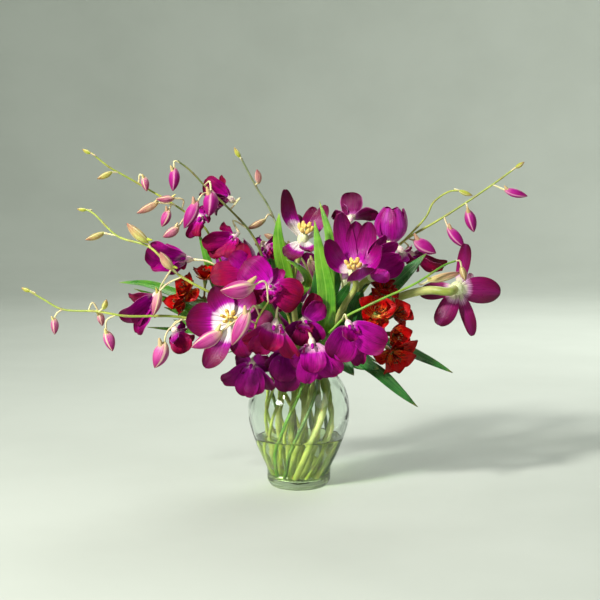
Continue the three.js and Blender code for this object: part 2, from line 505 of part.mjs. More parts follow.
// All the petals of a flower: neighbours lie in turn a little lower and higher.
function whorls(at, face, petals, kind, bellyOf, grow) {
  const side = new THREE.Vector3(0.2, 0.3, 1).cross(face).normalize();
  const other = face.clone().cross(side);
  const bearing = ([x, y, z]) => {
    const tip = new THREE.Vector3(x, y, z);
    return Math.atan2(tip.dot(other), tip.dot(side));
  };
  return [...petals].sort((a, b) => bearing(a) - bearing(b))
    .map((tip, i) => petal(at, face, tip, kind, bellyOf(i % 2), i % 2 ? 1 : -1, grow));
}

const LEAF_STATIONS = [0, 0.3, 0.72];
const LEAF_THICK = 1.3;
const LEAF_FOLD = 0.12;

function leaf({ spine, half, face = [0, -1, 0.2] }, stem, grow) {
  const points = spine.map(vec);
  points[0] = nearest(stem, points[0]);
  const curve = new THREE.CatmullRomCurve3(points, false, 'centripetal');
  const facing = vec(face).normalize();
  const section = (u, width, thick) => {
    const tangent = curve.getTangentAt(u);
    const lateral = tangent.clone().cross(facing).normalize();
    const normal = lateral.clone().cross(tangent);
    return bladeSection(curve.getPointAt(u), lateral, normal, width, thick, LEAF_FOLD, grow);
  };
  const rings = LEAF_STATIONS.map((u) => {
    const width = half * (0.22 + 0.78 * Math.sin(Math.PI * Math.min(1, 0.5 * u / 0.4)));
    const taper = u < 0.4 ? width : half * Math.cos((Math.PI / 2) * ((u - 0.4) / 0.6)) ** 0.85;
    return section(u, taper, LEAF_THICK * (1 - 0.4 * u));
  });
  if (grow > 0) rings.push(section(1, 0, 0));
  const end = along(curve.getPointAt(1), [curve.getTangentAt(1), grow]);
  return asSolid(loft(rings, curve.getPointAt(0), end));
}

// ---------------------------------------------------------------- stalks
// The point of a row of straight lines that is nearest to another point.
function nearest(points, target) {
  let best = points[0];
  for (let i = 1; i < points.length; i += 1) {
    const line = new THREE.Line3(points[i - 1], points[i]);
    const candidate = line.closestPointToPoint(target, true, new THREE.Vector3());
    if (candidate.distanceTo(target) < best.distanceTo(target)) best = candidate;
  }
  return best;
}

// The stems stand in rings and spiral up together, so that none crosses another.
function stalkPath([ring, neckAngle], way) {
  const [foot, belly, neck, rim] = RINGS[ring];
  const stand = (radius, degrees, height) => {
    const angle = THREE.MathUtils.degToRad(degrees);
    return new THREE.Vector3(radius * Math.cos(angle), radius * Math.sin(angle), height);
  };
  const inVase = [0, 0.25, 0.5, 0.75, 1].map((t) => {
    const bulge = (belly - (foot + neck) / 2) * Math.sin(Math.PI * t);
    return stand(THREE.MathUtils.lerp(foot, neck, t) + bulge, neckAngle - STEM_TURN * (1 - t),
      THREE.MathUtils.lerp(STEM_FOOT, NECK_HEIGHT, t));
  });
  const above = new THREE.CatmullRomCurve3([inVase.at(-1), stand(rim, neckAngle, RIM_HEIGHT), ...way],
    false, 'centripetal');
  const steps = Math.ceil(above.getLength() / STALK_STEP);
  return [...inVase.slice(0, -1), ...spaced(above, steps)];
}

// The arch of a pedicel, from its stalk to the flower or bud.
function archPoints(stem, from, over, end, steps) {
  const start = nearest(stem, vec(from));
  if (!over) return [start, end];
  return spaced(new THREE.CatmullRomCurve3([start, vec(over), end], false, 'centripetal'), steps);
}

// A bud on its pedicel, in one piece: [share of the length, share of the radius].
const SMALL_BUD = 4.1;
const BUD_PROFILE = [[0, 0.4], [0.4, 1.04], [0.88, 0.5]];

function bud({ base, tip, r, from, over }, stem, grow) {
  const start = vec(base);
  const end = vec(tip);
  const sunk = start.clone().lerp(end, -0.3);
  const root = from ? archPoints(stem, from, over, start, 2).slice(0, -1) : [sunk];
  const body = BUD_PROFILE.map(([share]) => start.clone().lerp(end, share));
  const radii = [...root.map(() => PEDICEL), ...BUD_PROFILE.map(([, size]) => size * r)];
  return rod([...root, ...body], radii, r < SMALL_BUD ? 3 : 4, grow);
}

function pedicel(stem, from, over, end, grow) {
  const points = archPoints(stem, from, over, end, 2);
  return rod(points, points.map(() => PEDICEL), 3, grow);
}

// ---------------------------------------------------------------- nodes
// Each node lists its pieces for a given growth; grown pieces are what others keep clear of.
const nodes = [];
const addNode = (name, group, material, pieces, origin = [0, 0, 0]) =>
  nodes.push({ name, group, material, origin, pieces });

// How far the firm middle of each kind of flower reaches behind and before its petals.
const CORES = {
  tulip: { back: 6, front: 7 },
  orchid: { back: 9, front: 6 },
};
const CUP_NEST = 0.1;                 // the inner petals of a closed cup bow out less

function tulipFlower(tulip) {
  const face = vec(tulip.face).normalize();
  const at = vec(tulip.at);
  const radius = (tulip.stalk ?? TULIP_STEM) + 3.4;
  const turned = new THREE.Quaternion().setFromUnitVectors(new THREE.Vector3(0, 0, 1), face);
  const cupPetal = (i) => {
    const angle = (i / 6) * 2 * Math.PI;
    const { mouth, height, half } = tulip.cup;
    const reach = i % 2 ? mouth : mouth + 3;
    return new THREE.Vector3(reach * Math.cos(angle), reach * Math.sin(angle), height)
      .applyQuaternion(turned).toArray().concat(half);
  };
  const petals = tulip.petals ?? [0, 1, 2, 3, 4, 5].map(cupPetal);
  const bellyOf = (inner) => (tulip.cup && inner ? tulip.belly - CUP_NEST : tulip.belly);
  const { back, front } = CORES.tulip;
  return (grow) => union([
    spindle(along(at, [face, -back]), along(at, [face, front]),
      [[0, radius * 0.62], [0.5, radius], [1, radius * 0.6]], 5, grow),
    ...whorls(at, face, petals, 'tulip', bellyOf, grow),
  ]);
}

// Six anthers on a small knob over the flower's middle.
function stamens(tulip) {
  const face = vec(tulip.face).normalize();
  const at = vec(tulip.at);
  const side = new THREE.Vector3(0.2, 0.3, 1).cross(face).normalize();
  const other = face.clone().cross(side);
  const foot = CORES.tulip.front + 1.4;
  const knob = (grow) => spindle(along(at, [face, foot]), along(at, [face, foot + 9]),
    [[0, 3], [1, 3]], 4, grow);
  const anther = (i, grow) => {
    const angle = (i / 6) * 2 * Math.PI;
    const out = along(new THREE.Vector3(), [side, Math.cos(angle)], [other, Math.sin(angle)]);
    return spindle(along(at, [face, foot + 2.4], [out, 1.4]), along(at, [face, foot + 13], [out, 9]),
      [[0, 1.2], [0.9, 1.6]], 3, grow);
  };
  return (grow) => union([knob(grow), ...[0, 1, 2, 3, 4, 5].map((i) => anther(i, grow))]);
}

function orchidFlower(bloom) {
  const face = vec(bloom.face).normalize();
  const at = vec(bloom.at);
  const { back, front } = CORES.orchid;
  return (grow) => union([
    spindle(along(at, [face, -back]), along(at, [face, front]),
      [[0, 2.6], [0.5, 4.9], [1, 2.4]], 4, grow),
    ...whorls(at, face, bloom.petals, 'orchid', () => -0.05, grow),
  ]);
}

const HUB_BACK = 4;

function floretHead({ hub, florets }) {
  const centre = vec(hub);
  const up = new THREE.Vector3(0, 0, 1);
  return (grow) => union([
    spindle(along(centre, [up, -HUB_BACK]), along(centre, [up, 4]), [[0, 3.6], [1, 3.4]], 5, grow),
    ...florets.flatMap(({ at, petals }) => {
      const middle = vec(at);
      const face = middle.clone().sub(centre).normalize();
      return [
        spindle(centre, along(middle, [face, 3]), [[0, 1.5], [1, 3.2]], 3, grow),
        ...whorls(middle, face, petals, 'alstroemeria', () => -0.02, grow),
      ];
    }),
  ]);
}

function glassVase() {
  const profile = [[0, 0], ...VASE_OUTSIDE, ...VASE_INSIDE, [0, VASE_FLOOR]];
  const lathe = new THREE.LatheGeometry(profile.map((p) => new THREE.Vector2(...p)), VASE_FACETS);
  return asSolid(lathe.rotateX(Math.PI / 2));
}

// The water fills the foot of the vase, just clear of the glass and of every stem.
function vaseWater() {
  const wet = VASE_INSIDE.filter(([, height]) => height < WATER_LEVEL && height > WATER_LOWEST);
  const wall = wet.map(([radius, height]) => [radius - GAP - 0.3, height]).reverse();
  const dry = VASE_INSIDE.findLast(([, height]) => height >= WATER_LEVEL);
  const share = (WATER_LEVEL - wet[0][1]) / (dry[1] - wet[0][1]);
  const rim = THREE.MathUtils.lerp(wet[0][0], dry[0], share);
  const profile = [[0, WATER_LOWEST], [27.4, WATER_LOWEST], ...wall,
    [rim - GAP - 0.3, WATER_LEVEL], [0, WATER_LEVEL]];
  const lathe = new THREE.LatheGeometry(profile.map((p) => new THREE.Vector2(...p)), VASE_FACETS);
  return asSolid(lathe.rotateX(Math.PI / 2));
}

// ---------------------------------------------------------------- making room
const overlaps = (a, b) => {
  const [p, q] = [a.boundingBox(), b.boundingBox()];
  return [0, 1, 2].every((i) => p.min[i] <= q.max[i] && q.min[i] <= p.max[i]);
};
const largest = (solid) => {
  const bodies = solid.decompose();
  return bodies.reduce((best, body) => (body.volume() > best.volume() ? body : best));
};
const clearOf = (solid, others) =>
  others.filter((other) => overlaps(solid, other)).reduce((left, other) => left.subtract(other), solid);

const finished = new Map();           // node name -> solid
const reserved = [];                  // { name, solid }: the space that earlier pieces hold
const othersThan = (name) => reserved.filter((held) => held.name !== name).map((held) => held.solid);

// Stalks come first, and hold the spray's pedicels and buds. They end just short of the flower.
const TULIP_STEM_CAP = 0.6;           // the rounding of a cut or joined end
const PEDICEL_CAP = 0.55;
const stalks = new Map();
for (const tulip of TULIPS) {
  const face = vec(tulip.face).normalize();
  const at = vec(tulip.at);
  const end = CORES.tulip.back + TULIP_STEM_CAP + GAP;
  const way = [...tulip.via.map(vec), along(at, [face, -end - 14]), along(at, [face, -end])];
  const path = stalkPath(tulip.ring, way);
  const radii = tapering(path, TULIP_STEM, tulip.stalk ?? TULIP_STEM);
  stalks.set(tulip.name, { name: `${tulip.name}_stem`, path, material: STALK, leaves: tulip.leaves ?? [],
    pieces: (grow) => rod(path, radii, 5, grow) });
}
for (const spray of SPRAYS) {
  const path = stalkPath(spray.ring, spray.way.map(vec));
  const radii = tapering(path, ORCHID_STEM, ORCHID_STEM_TIP);
  const carried = ORCHIDS.filter((bloom) => bloom.on === spray.name);
  stalks.set(spray.name, { name: spray.name, path, material: SPRAY, leaves: [],
    pieces: (grow) => union([
      rod(path, radii, 3, grow),
      ...spray.buds.map((item) => bud(item, path, grow)),
      ...carried.map((bloom) => {
        const behind = CORES.orchid.back + PEDICEL_CAP + GAP;
        const end = along(vec(bloom.at), [vec(bloom.face).normalize(), -behind]);
        return pedicel(path, bloom.from, bloom.over, end, grow);
      }),
    ]) });
}
for (const plant of ALSTROEMERIAS) {
  const below = HUB_BACK + TULIP_STEM_CAP + GAP;
  const end = along(vec(plant.hub), [new THREE.Vector3(0, 0, 1), -below]);
  const path = stalkPath(plant.ring, [...plant.way.map(vec), end]);
  const radii = tapering(path, ALSTROEMERIA_STEM, ALSTROEMERIA_STEM);
  stalks.set(plant.name, { name: `${plant.name}_stem`, path, material: FOLIAGE, leaves: plant.leaves,
    pieces: (grow) => rod(path, radii, 4, grow) });
}

for (const stalk of stalks.values()) {
  const solid = largest(clearOf(stalk.pieces(0), othersThan(stalk.name)));
  finished.set(stalk.name, { solid, material: stalk.material, origin: [0, 0, 0] });
  reserved.push({ name: stalk.name, solid: stalk.pieces(GAP) });
}

// Then the flowers, from the front of the bunch to the back.
const flowers = [
  ...TULIPS.filter((tulip) => tulip.stamens)
    .map((tulip) => ({ name: `${tulip.name}_stamens`, at: tulip.at, rank: -1000, material: YELLOW,
      pieces: stamens(tulip) })),
  ...TULIPS.map((tulip) => ({ name: `${tulip.name}_petals`, at: tulip.at, rank: tulip.at[1],
    material: TULIP, pieces: tulipFlower(tulip) })),
  ...ORCHIDS.map((bloom) => ({ name: bloom.name, at: bloom.at, rank: bloom.at[1], material: ORCHID,
    pieces: orchidFlower(bloom) })),
  ...ALSTROEMERIAS.map((plant) => ({ name: `${plant.name}_flowers`, at: plant.hub,
    rank: plant.hub[1], material: RED, pieces: floretHead(plant) })),
].sort((a, b) => a.rank - b.rank);

for (const { name, at, material, pieces } of flowers) {
  const solid = largest(clearOf(pieces(0), othersThan(name)));
  finished.set(name, { solid, material, origin: at });
  reserved.push({ name, solid: pieces(GAP) });
}

// Leaves take the room that is left, and are then joined to their own stalk.
for (const stalk of stalks.values()) {
  const node = finished.get(stalk.name);
  for (const item of stalk.leaves) {
    const blade = clearOf(leaf(item, stalk.path, 0), othersThan(stalk.name));
    node.solid = largest(node.solid.add(blade));
    reserved.push({ name: stalk.name, solid: leaf(item, stalk.path, GAP) });
  }
}

finished.set('glass_vase', { solid: glassVase(), material: GLASS, origin: [0, 0, 0] });
const water = largest(clearOf(vaseWater(), othersThan('vase_water')));
finished.set('vase_water', { solid: water, material: WATER, origin: [0, 0, 0] });

// ---------------------------------------------------------------- the scene graph
function asMesh(name, { solid, material, origin }) {
  const { numProp, vertProperties, triVerts } = solid.translate(origin.map((c) => -c)).getMesh();
  const geometry = new THREE.BufferGeometry();
  const positions = new Float32Array((vertProperties.length / numProp) * 3);
  for (let i = 0; i < positions.length; i += 1) {
    positions[i] = vertProperties[Math.floor(i / 3) * numProp + (i % 3)];
  }
  geometry.setAttribute('position', new THREE.BufferAttribute(positions, 3));
  geometry.setIndex([...triVerts]);
  geometry.computeVertexNormals();
  const mesh = new THREE.Mesh(geometry, material);
  mesh.name = name;
  mesh.position.set(...origin);
  return mesh;
}

const bouquet = new THREE.Group();
bouquet.name = 'mixed_bouquet_in_vase';
for (const [name, node] of finished) bouquet.add(asMesh(name, node));

export default bouquet;
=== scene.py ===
"""The looks of a mixed bouquet in a clear glass urn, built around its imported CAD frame.

Tulips, dendrobium orchid sprays and alstroemeria are rebuilt here as thin veined petals,
ribbed leaves and smooth canes, each where the CAD part has its plain solid. The flowers and
the vase are in millimetres until their meshes are made, and the studio round them in metres.
"""

import math
import random
from collections import namedtuple

import bpy
import numpy as np
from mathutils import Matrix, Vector


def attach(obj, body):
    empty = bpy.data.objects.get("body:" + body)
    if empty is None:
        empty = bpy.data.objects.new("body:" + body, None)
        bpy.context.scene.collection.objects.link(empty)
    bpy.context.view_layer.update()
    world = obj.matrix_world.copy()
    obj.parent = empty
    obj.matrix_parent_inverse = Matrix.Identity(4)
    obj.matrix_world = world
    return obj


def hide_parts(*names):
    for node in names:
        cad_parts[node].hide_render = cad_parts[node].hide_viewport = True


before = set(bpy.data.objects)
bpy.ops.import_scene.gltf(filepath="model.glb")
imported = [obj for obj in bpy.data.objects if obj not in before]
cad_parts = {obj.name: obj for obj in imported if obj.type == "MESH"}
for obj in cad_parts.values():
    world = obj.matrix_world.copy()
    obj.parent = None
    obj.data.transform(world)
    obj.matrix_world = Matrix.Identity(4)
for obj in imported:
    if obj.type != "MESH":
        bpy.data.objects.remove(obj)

# ---------------------------------------------------------------- sizes
MM = 0.001
CAMERA_LENS = 85.7
CAMERA_TILT = 83.88                   # degrees from straight down
CAMERA_PLACE = (0.0015, -1.695, 0.4066)    # metres

STEM_FOOT = 12.2                      # height of the stems' cut ends
NECK_HEIGHT = 152
STEM_TURN = 95                        # degrees that the stems spiral between foot and neck
RIM_HEIGHT = 172
RINGS = {                             # where they stand: radius at foot, belly, neck, rim
    "outer": (23.2, 40, 27, 31.5),
    "middle": (15.5, 25, 17.5, 20.5),
    "inner": (6, 10, 7.5, 9),
}
STALK_STEP = 3.0                      # a stem has a ring of points at each of these
JOINT_STEP = 38.0                     # from one joint of an orchid cane to the next
JOINT_LENGTH = 3.0
JOINT_SWELL = 0.16                    # as a share of the cane's radius
TULIP_STEM = 3.5                      # radii
ORCHID_STEM = 2.2
ORCHID_STEM_TIP = 1.1
ALSTROEMERIA_STEM = 2.1
PEDICEL = 1.1
PEDICEL_END = 1.7
RECEPTACLE = 3.4                      # how far it stands out round a tulip's stem
TULIP_NECK = (20.9, 5.5)              # a stem runs straight from the first to the second below it
HUB_HALF = 4                          # half the height of the knob that florets grow from
CHIN = 8.6                            # from an orchid's middle back to the end of its pedicel
LEAF_FOLD = 0.14
LEAF_THICK = 0.8
LEAF_WIDEST = 0.4                     # where along the leaf
LEAF_FOOT = 0.22                      # width of its foot, as a share of the widest
LEAF_LINE = 64                        # points on its middle line
LEAF_GRID = (26, 11)                  # points of its mesh, along and across
BUD_SWELL = 1.1
BUD_ROUND = (                         # a bud's outline: share of its length, share of its radius
    (0, 0.3), (0.06, 0.52), (0.16, 0.76), (0.28, 0.94), (0.4, 1.02), (0.52, 1.0),
    (0.64, 0.9), (0.76, 0.72), (0.86, 0.5), (0.94, 0.28), (1, 0.06),
)
BUD_WITH_CHIN = 3.9                   # buds with a larger radius show a chin

VASE_FLOOR = 9
WATER_LEVEL = 60
WATER_BITE = 0.12                     # how far the water reaches into the glass
VASE_OUTSIDE = (                      # (radius, height) up the outside of the glass
    (34, 1.8), (37.8, 8), (38.5, 22), (45.6, 38), (53.2, 57), (60, 80), (60.9, 97.5),
    (56.7, 117), (47, 134), (37.7, 150), (39.6, 159), (44, 167),
)
VASE_INSIDE = (                       # and down the inside, to the edge of the floor
    (41.8, 168.6), (36.2, 159), (34.3, 150.5), (43.8, 132.5), (53.4, 116), (57.4, 97.5),
    (56.6, 80.5), (49.8, 58), (35.6, 27), (31.5, 15), (28, 10.2),
)

ROUND_SIDES = 96                      # of the vase, the water and the backdrop
FLOOR_RADIUS = 2.4                    # metres, as are the next two
SWEEP = 1.5
WALL_TOP = 4.0
SKY_STRENGTH = 0.68

# ---------------------------------------------------------------- the flowers
# at: where the petals join. face: the way the flower looks. petals: tip x, y, z from there,
# and half width. belly: how far a petal bows outwards, as a share of its length. ring, via or
# way: where the stem stands in the vase, and the points that it runs through above the neck.
# cup: height, width of the mouth and half width of the petals. white: how large a tulip's
# white foot is; below 0.25 it also lays painted light on the petals, a brighter magenta.
# Leaves start on the stem, at the first point of their spine.
Leaf = namedtuple("Leaf", "half spine face", defaults=[(0, -1, 0.2)])
Tulip = namedtuple("Tulip", "at face belly ring via petals cup stamens stalk leaves white",
                   defaults=[None, None, False, TULIP_STEM, (), 0.3])

TULIPS = {
    1: Tulip([-77, -80, 210], [-0.1, -0.93, 0.35], 0.12, ["middle", -118],
        [[-24, -30, 172], [-56, -50, 194]],
        [[-51, -4, -1, 20], [-19, 2, 39, 14], [24, 4, 34, 13], [48, 2, 3, 12], [19, 0, -42, 13],
         [-30, -4, -54, 13]], stamens=True, white=1.0),
    2: Tulip([5, -14, 298], [0.2, -0.45, 0.87], 0.14, ["inner", -100],
        [[-3, -6, 190], [-7, -6, 250]],
        [[-21, 4, 59, 11.5], [28, 12, 40, 9], [-20, -27, -17, 12], [10, -23, -12, 10],
         [13, 24, 38, 9], [-7, 26, 29, 9]], stamens=True, white=1.0, leaves=[
            Leaf(9, [[-5, -4, 215], [-17, -12, 262], [-24, -18, 300], [-23, -22, 330]]),
            Leaf(7, [[-2, -6, 222], [9, -26, 252], [0, -31, 267], [-15, -31, 276]],
                [0.2, -0.7, 0.7]),
        ]),
    3: Tulip([64, -55, 261], [-0.1, -0.62, 0.78], 0.2, ["middle", -28],
        [[34, -26, 188], [54, -36, 224]],
        [[-33, -12, 38, 15], [-16, 8, 70, 11.5], [2, 14, 60, 11.5], [17, 8, 60, 11.5],
         [6, -34, 10, 16], [30, -14, 33, 13]], stamens=True, leaves=[
            Leaf(11,
                [[20, -16, 164], [28, -48, 186], [32, -58, 235], [25, -57, 280], [18, -52, 323]]),
            Leaf(7, [[38, -28, 194], [35, -36, 250], [36, -36, 300], [24, -28, 344]]),
        ]),
    4: Tulip([87, -44, 258], [0.65, -0.55, 0.5], 0.2, ["middle", 17],
        [[42, -8, 190], [66, -22, 232]],
        [[14, 4, 46, 11], [26, -8, 38, 11], [28, -18, 25, 11], [4, 12, 38, 10], [15, -26, 8, 11],
         [34, -2, 16, 11]], white=0.0),
    5: Tulip([110, 8, 293], [0.05, -0.05, 1], 0.33, ["inner", -10], [[34, 0, 190], [76, 6, 240]],
        cup=(42, 9, 11.5), white=0.1),
    6: Tulip([187, -12, 240], [0.5, 0.85, 0.1], -0.05, ["outer", -5],
        [[58, 0, 194], [92, -8, 214], [120, -20, 231], [152, -24, 239]],
        [[10, -4, 54, 8], [53, 4, -5, 16], [20, 6, -58, 8.5], [-22, -2, -44, 12], [-43, 12, -8, 10],
         [18, 40, 14, 10]], stalk=5.2, white=1.0),
    7: Tulip([-72, 62, 246], [-0.25, 0.35, 0.9], 0.3, ["outer", 118],
        [[-30, 38, 182], [-56, 52, 216]], cup=(48, 12, 15), leaves=[
            Leaf(10, [[-26, 34, 176], [-40, 66, 196], [-56, 92, 224], [-74, 104, 262]],
                [-0.3, 1, 0.2]),
        ]),
    8: Tulip([58, 74, 240], [0.2, 0.5, 0.85], 0.26, ["outer", 55], [[32, 44, 180], [48, 60, 212]],
        cup=(50, 18, 15), leaves=[
            Leaf(10, [[30, 40, 176], [54, 58, 190], [92, 76, 214], [120, 84, 250]], [0.3, 1, 0.2]),
        ]),
}

# base, tip, radius: of the bud. start, over: where on the spray its pedicel starts, and what
# that bends over. ripe: from 0, a green bud, by 0.5, pink, to 1, deep magenta.
Bud = namedtuple("Bud", "base tip radius start over", defaults=[None, None])
Spray = namedtuple("Spray", "ring way ripe look buds", defaults=[0.6, "spray", ()])

SPRAYS = {
    1: Spray(["outer", 148],
        [[-81, 30, 240], [-113, 28, 309], [-141, 22, 332], [-178, 18, 355], [-207, 14, 372],
         [-226, 12, 383], [-245, 5, 399]], ripe=0.42, buds=[
            Bud([-246, 5, 399], [-256, 4, 404], 2.2),
            Bud([-222, 9, 377], [-239, 4, 369], 3.2, [-214, 13, 376]),
            Bud([-185, 13, 372], [-181, 9, 354], 4.2, [-192, 16, 363], [-189, 13, 374]),
            Bud([-168, 14, 341], [-193, 8, 328], 4.2, [-150, 21, 338]),
            Bud([-148, 8, 346], [-169, 4, 345], 4, [-139, 22, 331], [-138, 12, 344]),
            Bud([-155, 12, 332], [-163, 5, 312], 5.2, [-148, 21, 337], [-152, 14, 338]),
            Bud([-142, -8, 312], [-160, -14, 301], 5, [-128, 25, 322], [-134, 4, 324]),
        ]),
    2: Spray(["middle", -163],
        [[-57, -40, 205], [-82, -52, 230], [-108, -60, 243], [-142, -63, 264], [-171, -57, 292],
         [-209, -47, 304], [-238, -38, 330], [-246, -36, 334]], ripe=0.25, buds=[
            Bud([-246, -36, 334], [-257, -37, 335], 2),
            Bud([-225, -44, 308], [-246, -50, 300], 3.4, [-209, -47, 304]),
            Bud([-173, -60, 298], [-196, -66, 320], 5.2, [-168, -58, 290]),
            Bud([-144, -71, 268], [-157, -78, 288], 5, [-139, -63, 262]),
            Bud([-160, -64, 243], [-167, -68, 214], 5, [-134, -62, 259], [-150, -66, 251]),
        ]),
    3: Spray(["outer", -152],
        [[-63, -26, 176], [-98, -38, 197], [-126, -48, 208], [-149, -55, 212], [-200, -62, 213],
         [-231, -60, 218], [-274, -54, 220], [-294, -50, 230], [-312, -46, 240]], ripe=0.55, buds=[
            Bud([-311, -46, 240], [-322, -45, 244], 2.2),
            Bud([-283, -55, 210], [-282, -58, 191], 4.2, [-272, -54, 219], [-279, -55, 216]),
            Bud([-225, -64, 221], [-220, -70, 233], 3, [-231, -60, 218]),
            Bud([-231, -53, 216], [-228, -50, 200], 4, [-243, -60, 219], [-238, -56, 228]),
            Bud([-222, -64, 196], [-214, -68, 173], 5.8, [-211, -62, 214], [-221, -64, 208]),
            Bud([-155, -56, 181], [-167, -58, 152], 8.2, [-132, -50, 210], [-152, -56, 194]),
        ]),
    4: Spray(["inner", 170],
        [[-32, 5, 220], [-43, 5, 275], [-58, 5, 306], [-87, 0, 338], [-108, -4, 358],
         [-129, -6, 380], [-142, -8, 390]], ripe=0.95, look="dark_spray", buds=[
            Bud([-146, -10, 382], [-148, -12, 355], 5.8, [-140, -8, 389], [-146, -9, 390]),
            Bud([-102, -24, 355], [-105, -30, 326], 8, [-112, -5, 362], [-104, -20, 366]),
            Bud([-119, -20, 343], [-134, -26, 312], 6.8, [-100, -3, 350], [-112, -16, 352]),
        ]),
    5: Spray(["middle", 107],
        [[-9, 26, 215], [-17, 26, 283], [-37, 28, 336], [-49, 27, 355], [-69, 24, 393]], ripe=0.6,
        look="grey_spray", buds=[
            Bud([-70, 24, 394], [-77, 22, 406], 2.6),
            Bud([-48, 22, 363], [-50, 18, 380], 3.8, [-52, 27, 361]),
            Bud([-40, 20, 320], [-62, 12, 309], 3.6, [-31, 28, 322], [-36, 22, 326]),
        ]),
    6: Spray(["inner", 80],
        [[30, 20, 200], [88, 24, 250], [110, 26, 278], [128, 24, 295], [164, 19, 317],
         [187, 13, 332], [229, 0, 362], [255, -7, 382]], ripe=1.0, buds=[
            Bud([255, -7, 382], [265, -9, 389], 2.4),
            Bud([243, -6, 356], [269, -12, 349], 4.6, [229, 0, 362]),
            Bud([201, 6, 332], [208, 0, 306], 6.2, [199, 9, 340], [200, 7, 338]),
            Bud([178, 9, 311], [197, 2, 288], 5.8, [174, 16, 323], [176, 12, 317]),
            Bud([138, 8, 296], [163, -2, 281], 7.4, [130, 24, 296]),
        ]),
    7: Spray(["outer", 25],
        [[56, 36, 200], [105, 45, 267], [124, 46, 288], [155, 45, 322], [164, 43, 340],
         [183, 40, 353], [194, 38, 354]], buds=[
            Bud([194, 38, 354], [210, 36, 348], 2.8),
        ]),
    8: Spray(["outer", -65],
        [[22, -42, 177], [36, -62, 194], [53, -68, 212], [75, -78, 225], [97, -82, 236],
         [132, -80, 252], [167, -72, 273], [179, -68, 277]], ripe=0.3, look="green_spray", buds=[
            Bud([186, -66, 270], [191, -66, 254], 3.6, [179, -68, 277], [184, -67, 277]),
            Bud([148, -66, 254], [187, -58, 263], 4.4, [134, -79, 253], [140, -70, 250]),
        ]),
    9: Spray(["outer", -125], [[-36, -46, 176], [-49, -78, 199], [-44, -98, 218], [-34, -106, 234]],
        ripe=0.5, buds=[
            Bud([-50, -116, 253], [-86, -128, 249], 9, [-34, -106, 233], [-38, -114, 258]),
            Bud([-56, -112, 224], [-74, -126, 188], 7.6, [-44, -98, 218], [-50, -108, 230]),
            Bud([-86, -116, 202], [-119, -122, 185], 7.6, [-47, -86, 207], [-64, -108, 216]),
        ]),
    10: Spray(["middle", -73],
        [[-4, -38, 185], [-16, -50, 220], [-34, -46, 243], [-62, -26, 256], [-92, -28, 266]]),
    11: Spray(["outer", -95], [[0, -46, 178], [-8, -58, 185], [-24, -62, 183], [-40, -58, 172]]),
    12: Spray(["middle", 62], [[14, 50, 200], [16, 82, 240], [-4, 104, 276], [-30, 114, 292]],
        buds=[
            Bud([-30, 114, 292], [-44, 120, 296], 3.6),
            Bud([-14, 116, 284], [-14, 130, 262], 6, [-10, 106, 280], [-13, 113, 288]),
            Bud([14, 100, 262], [26, 120, 242], 7, [8, 92, 256], [13, 98, 266]),
        ]),
}

# spray, start, over: which spray carries the bloom, where its pedicel starts on it, and what
# that bends over. pale: how pale the bloom's back is, or below 0, how much painted shade
# darkens the whole bloom, for blooms low in the bunch. violet: only violet petals, where the
# others mix violet and crimson.
Bloom = namedtuple("Bloom", "at face spray start over petals pale violet",
                   defaults=[0.45, False])

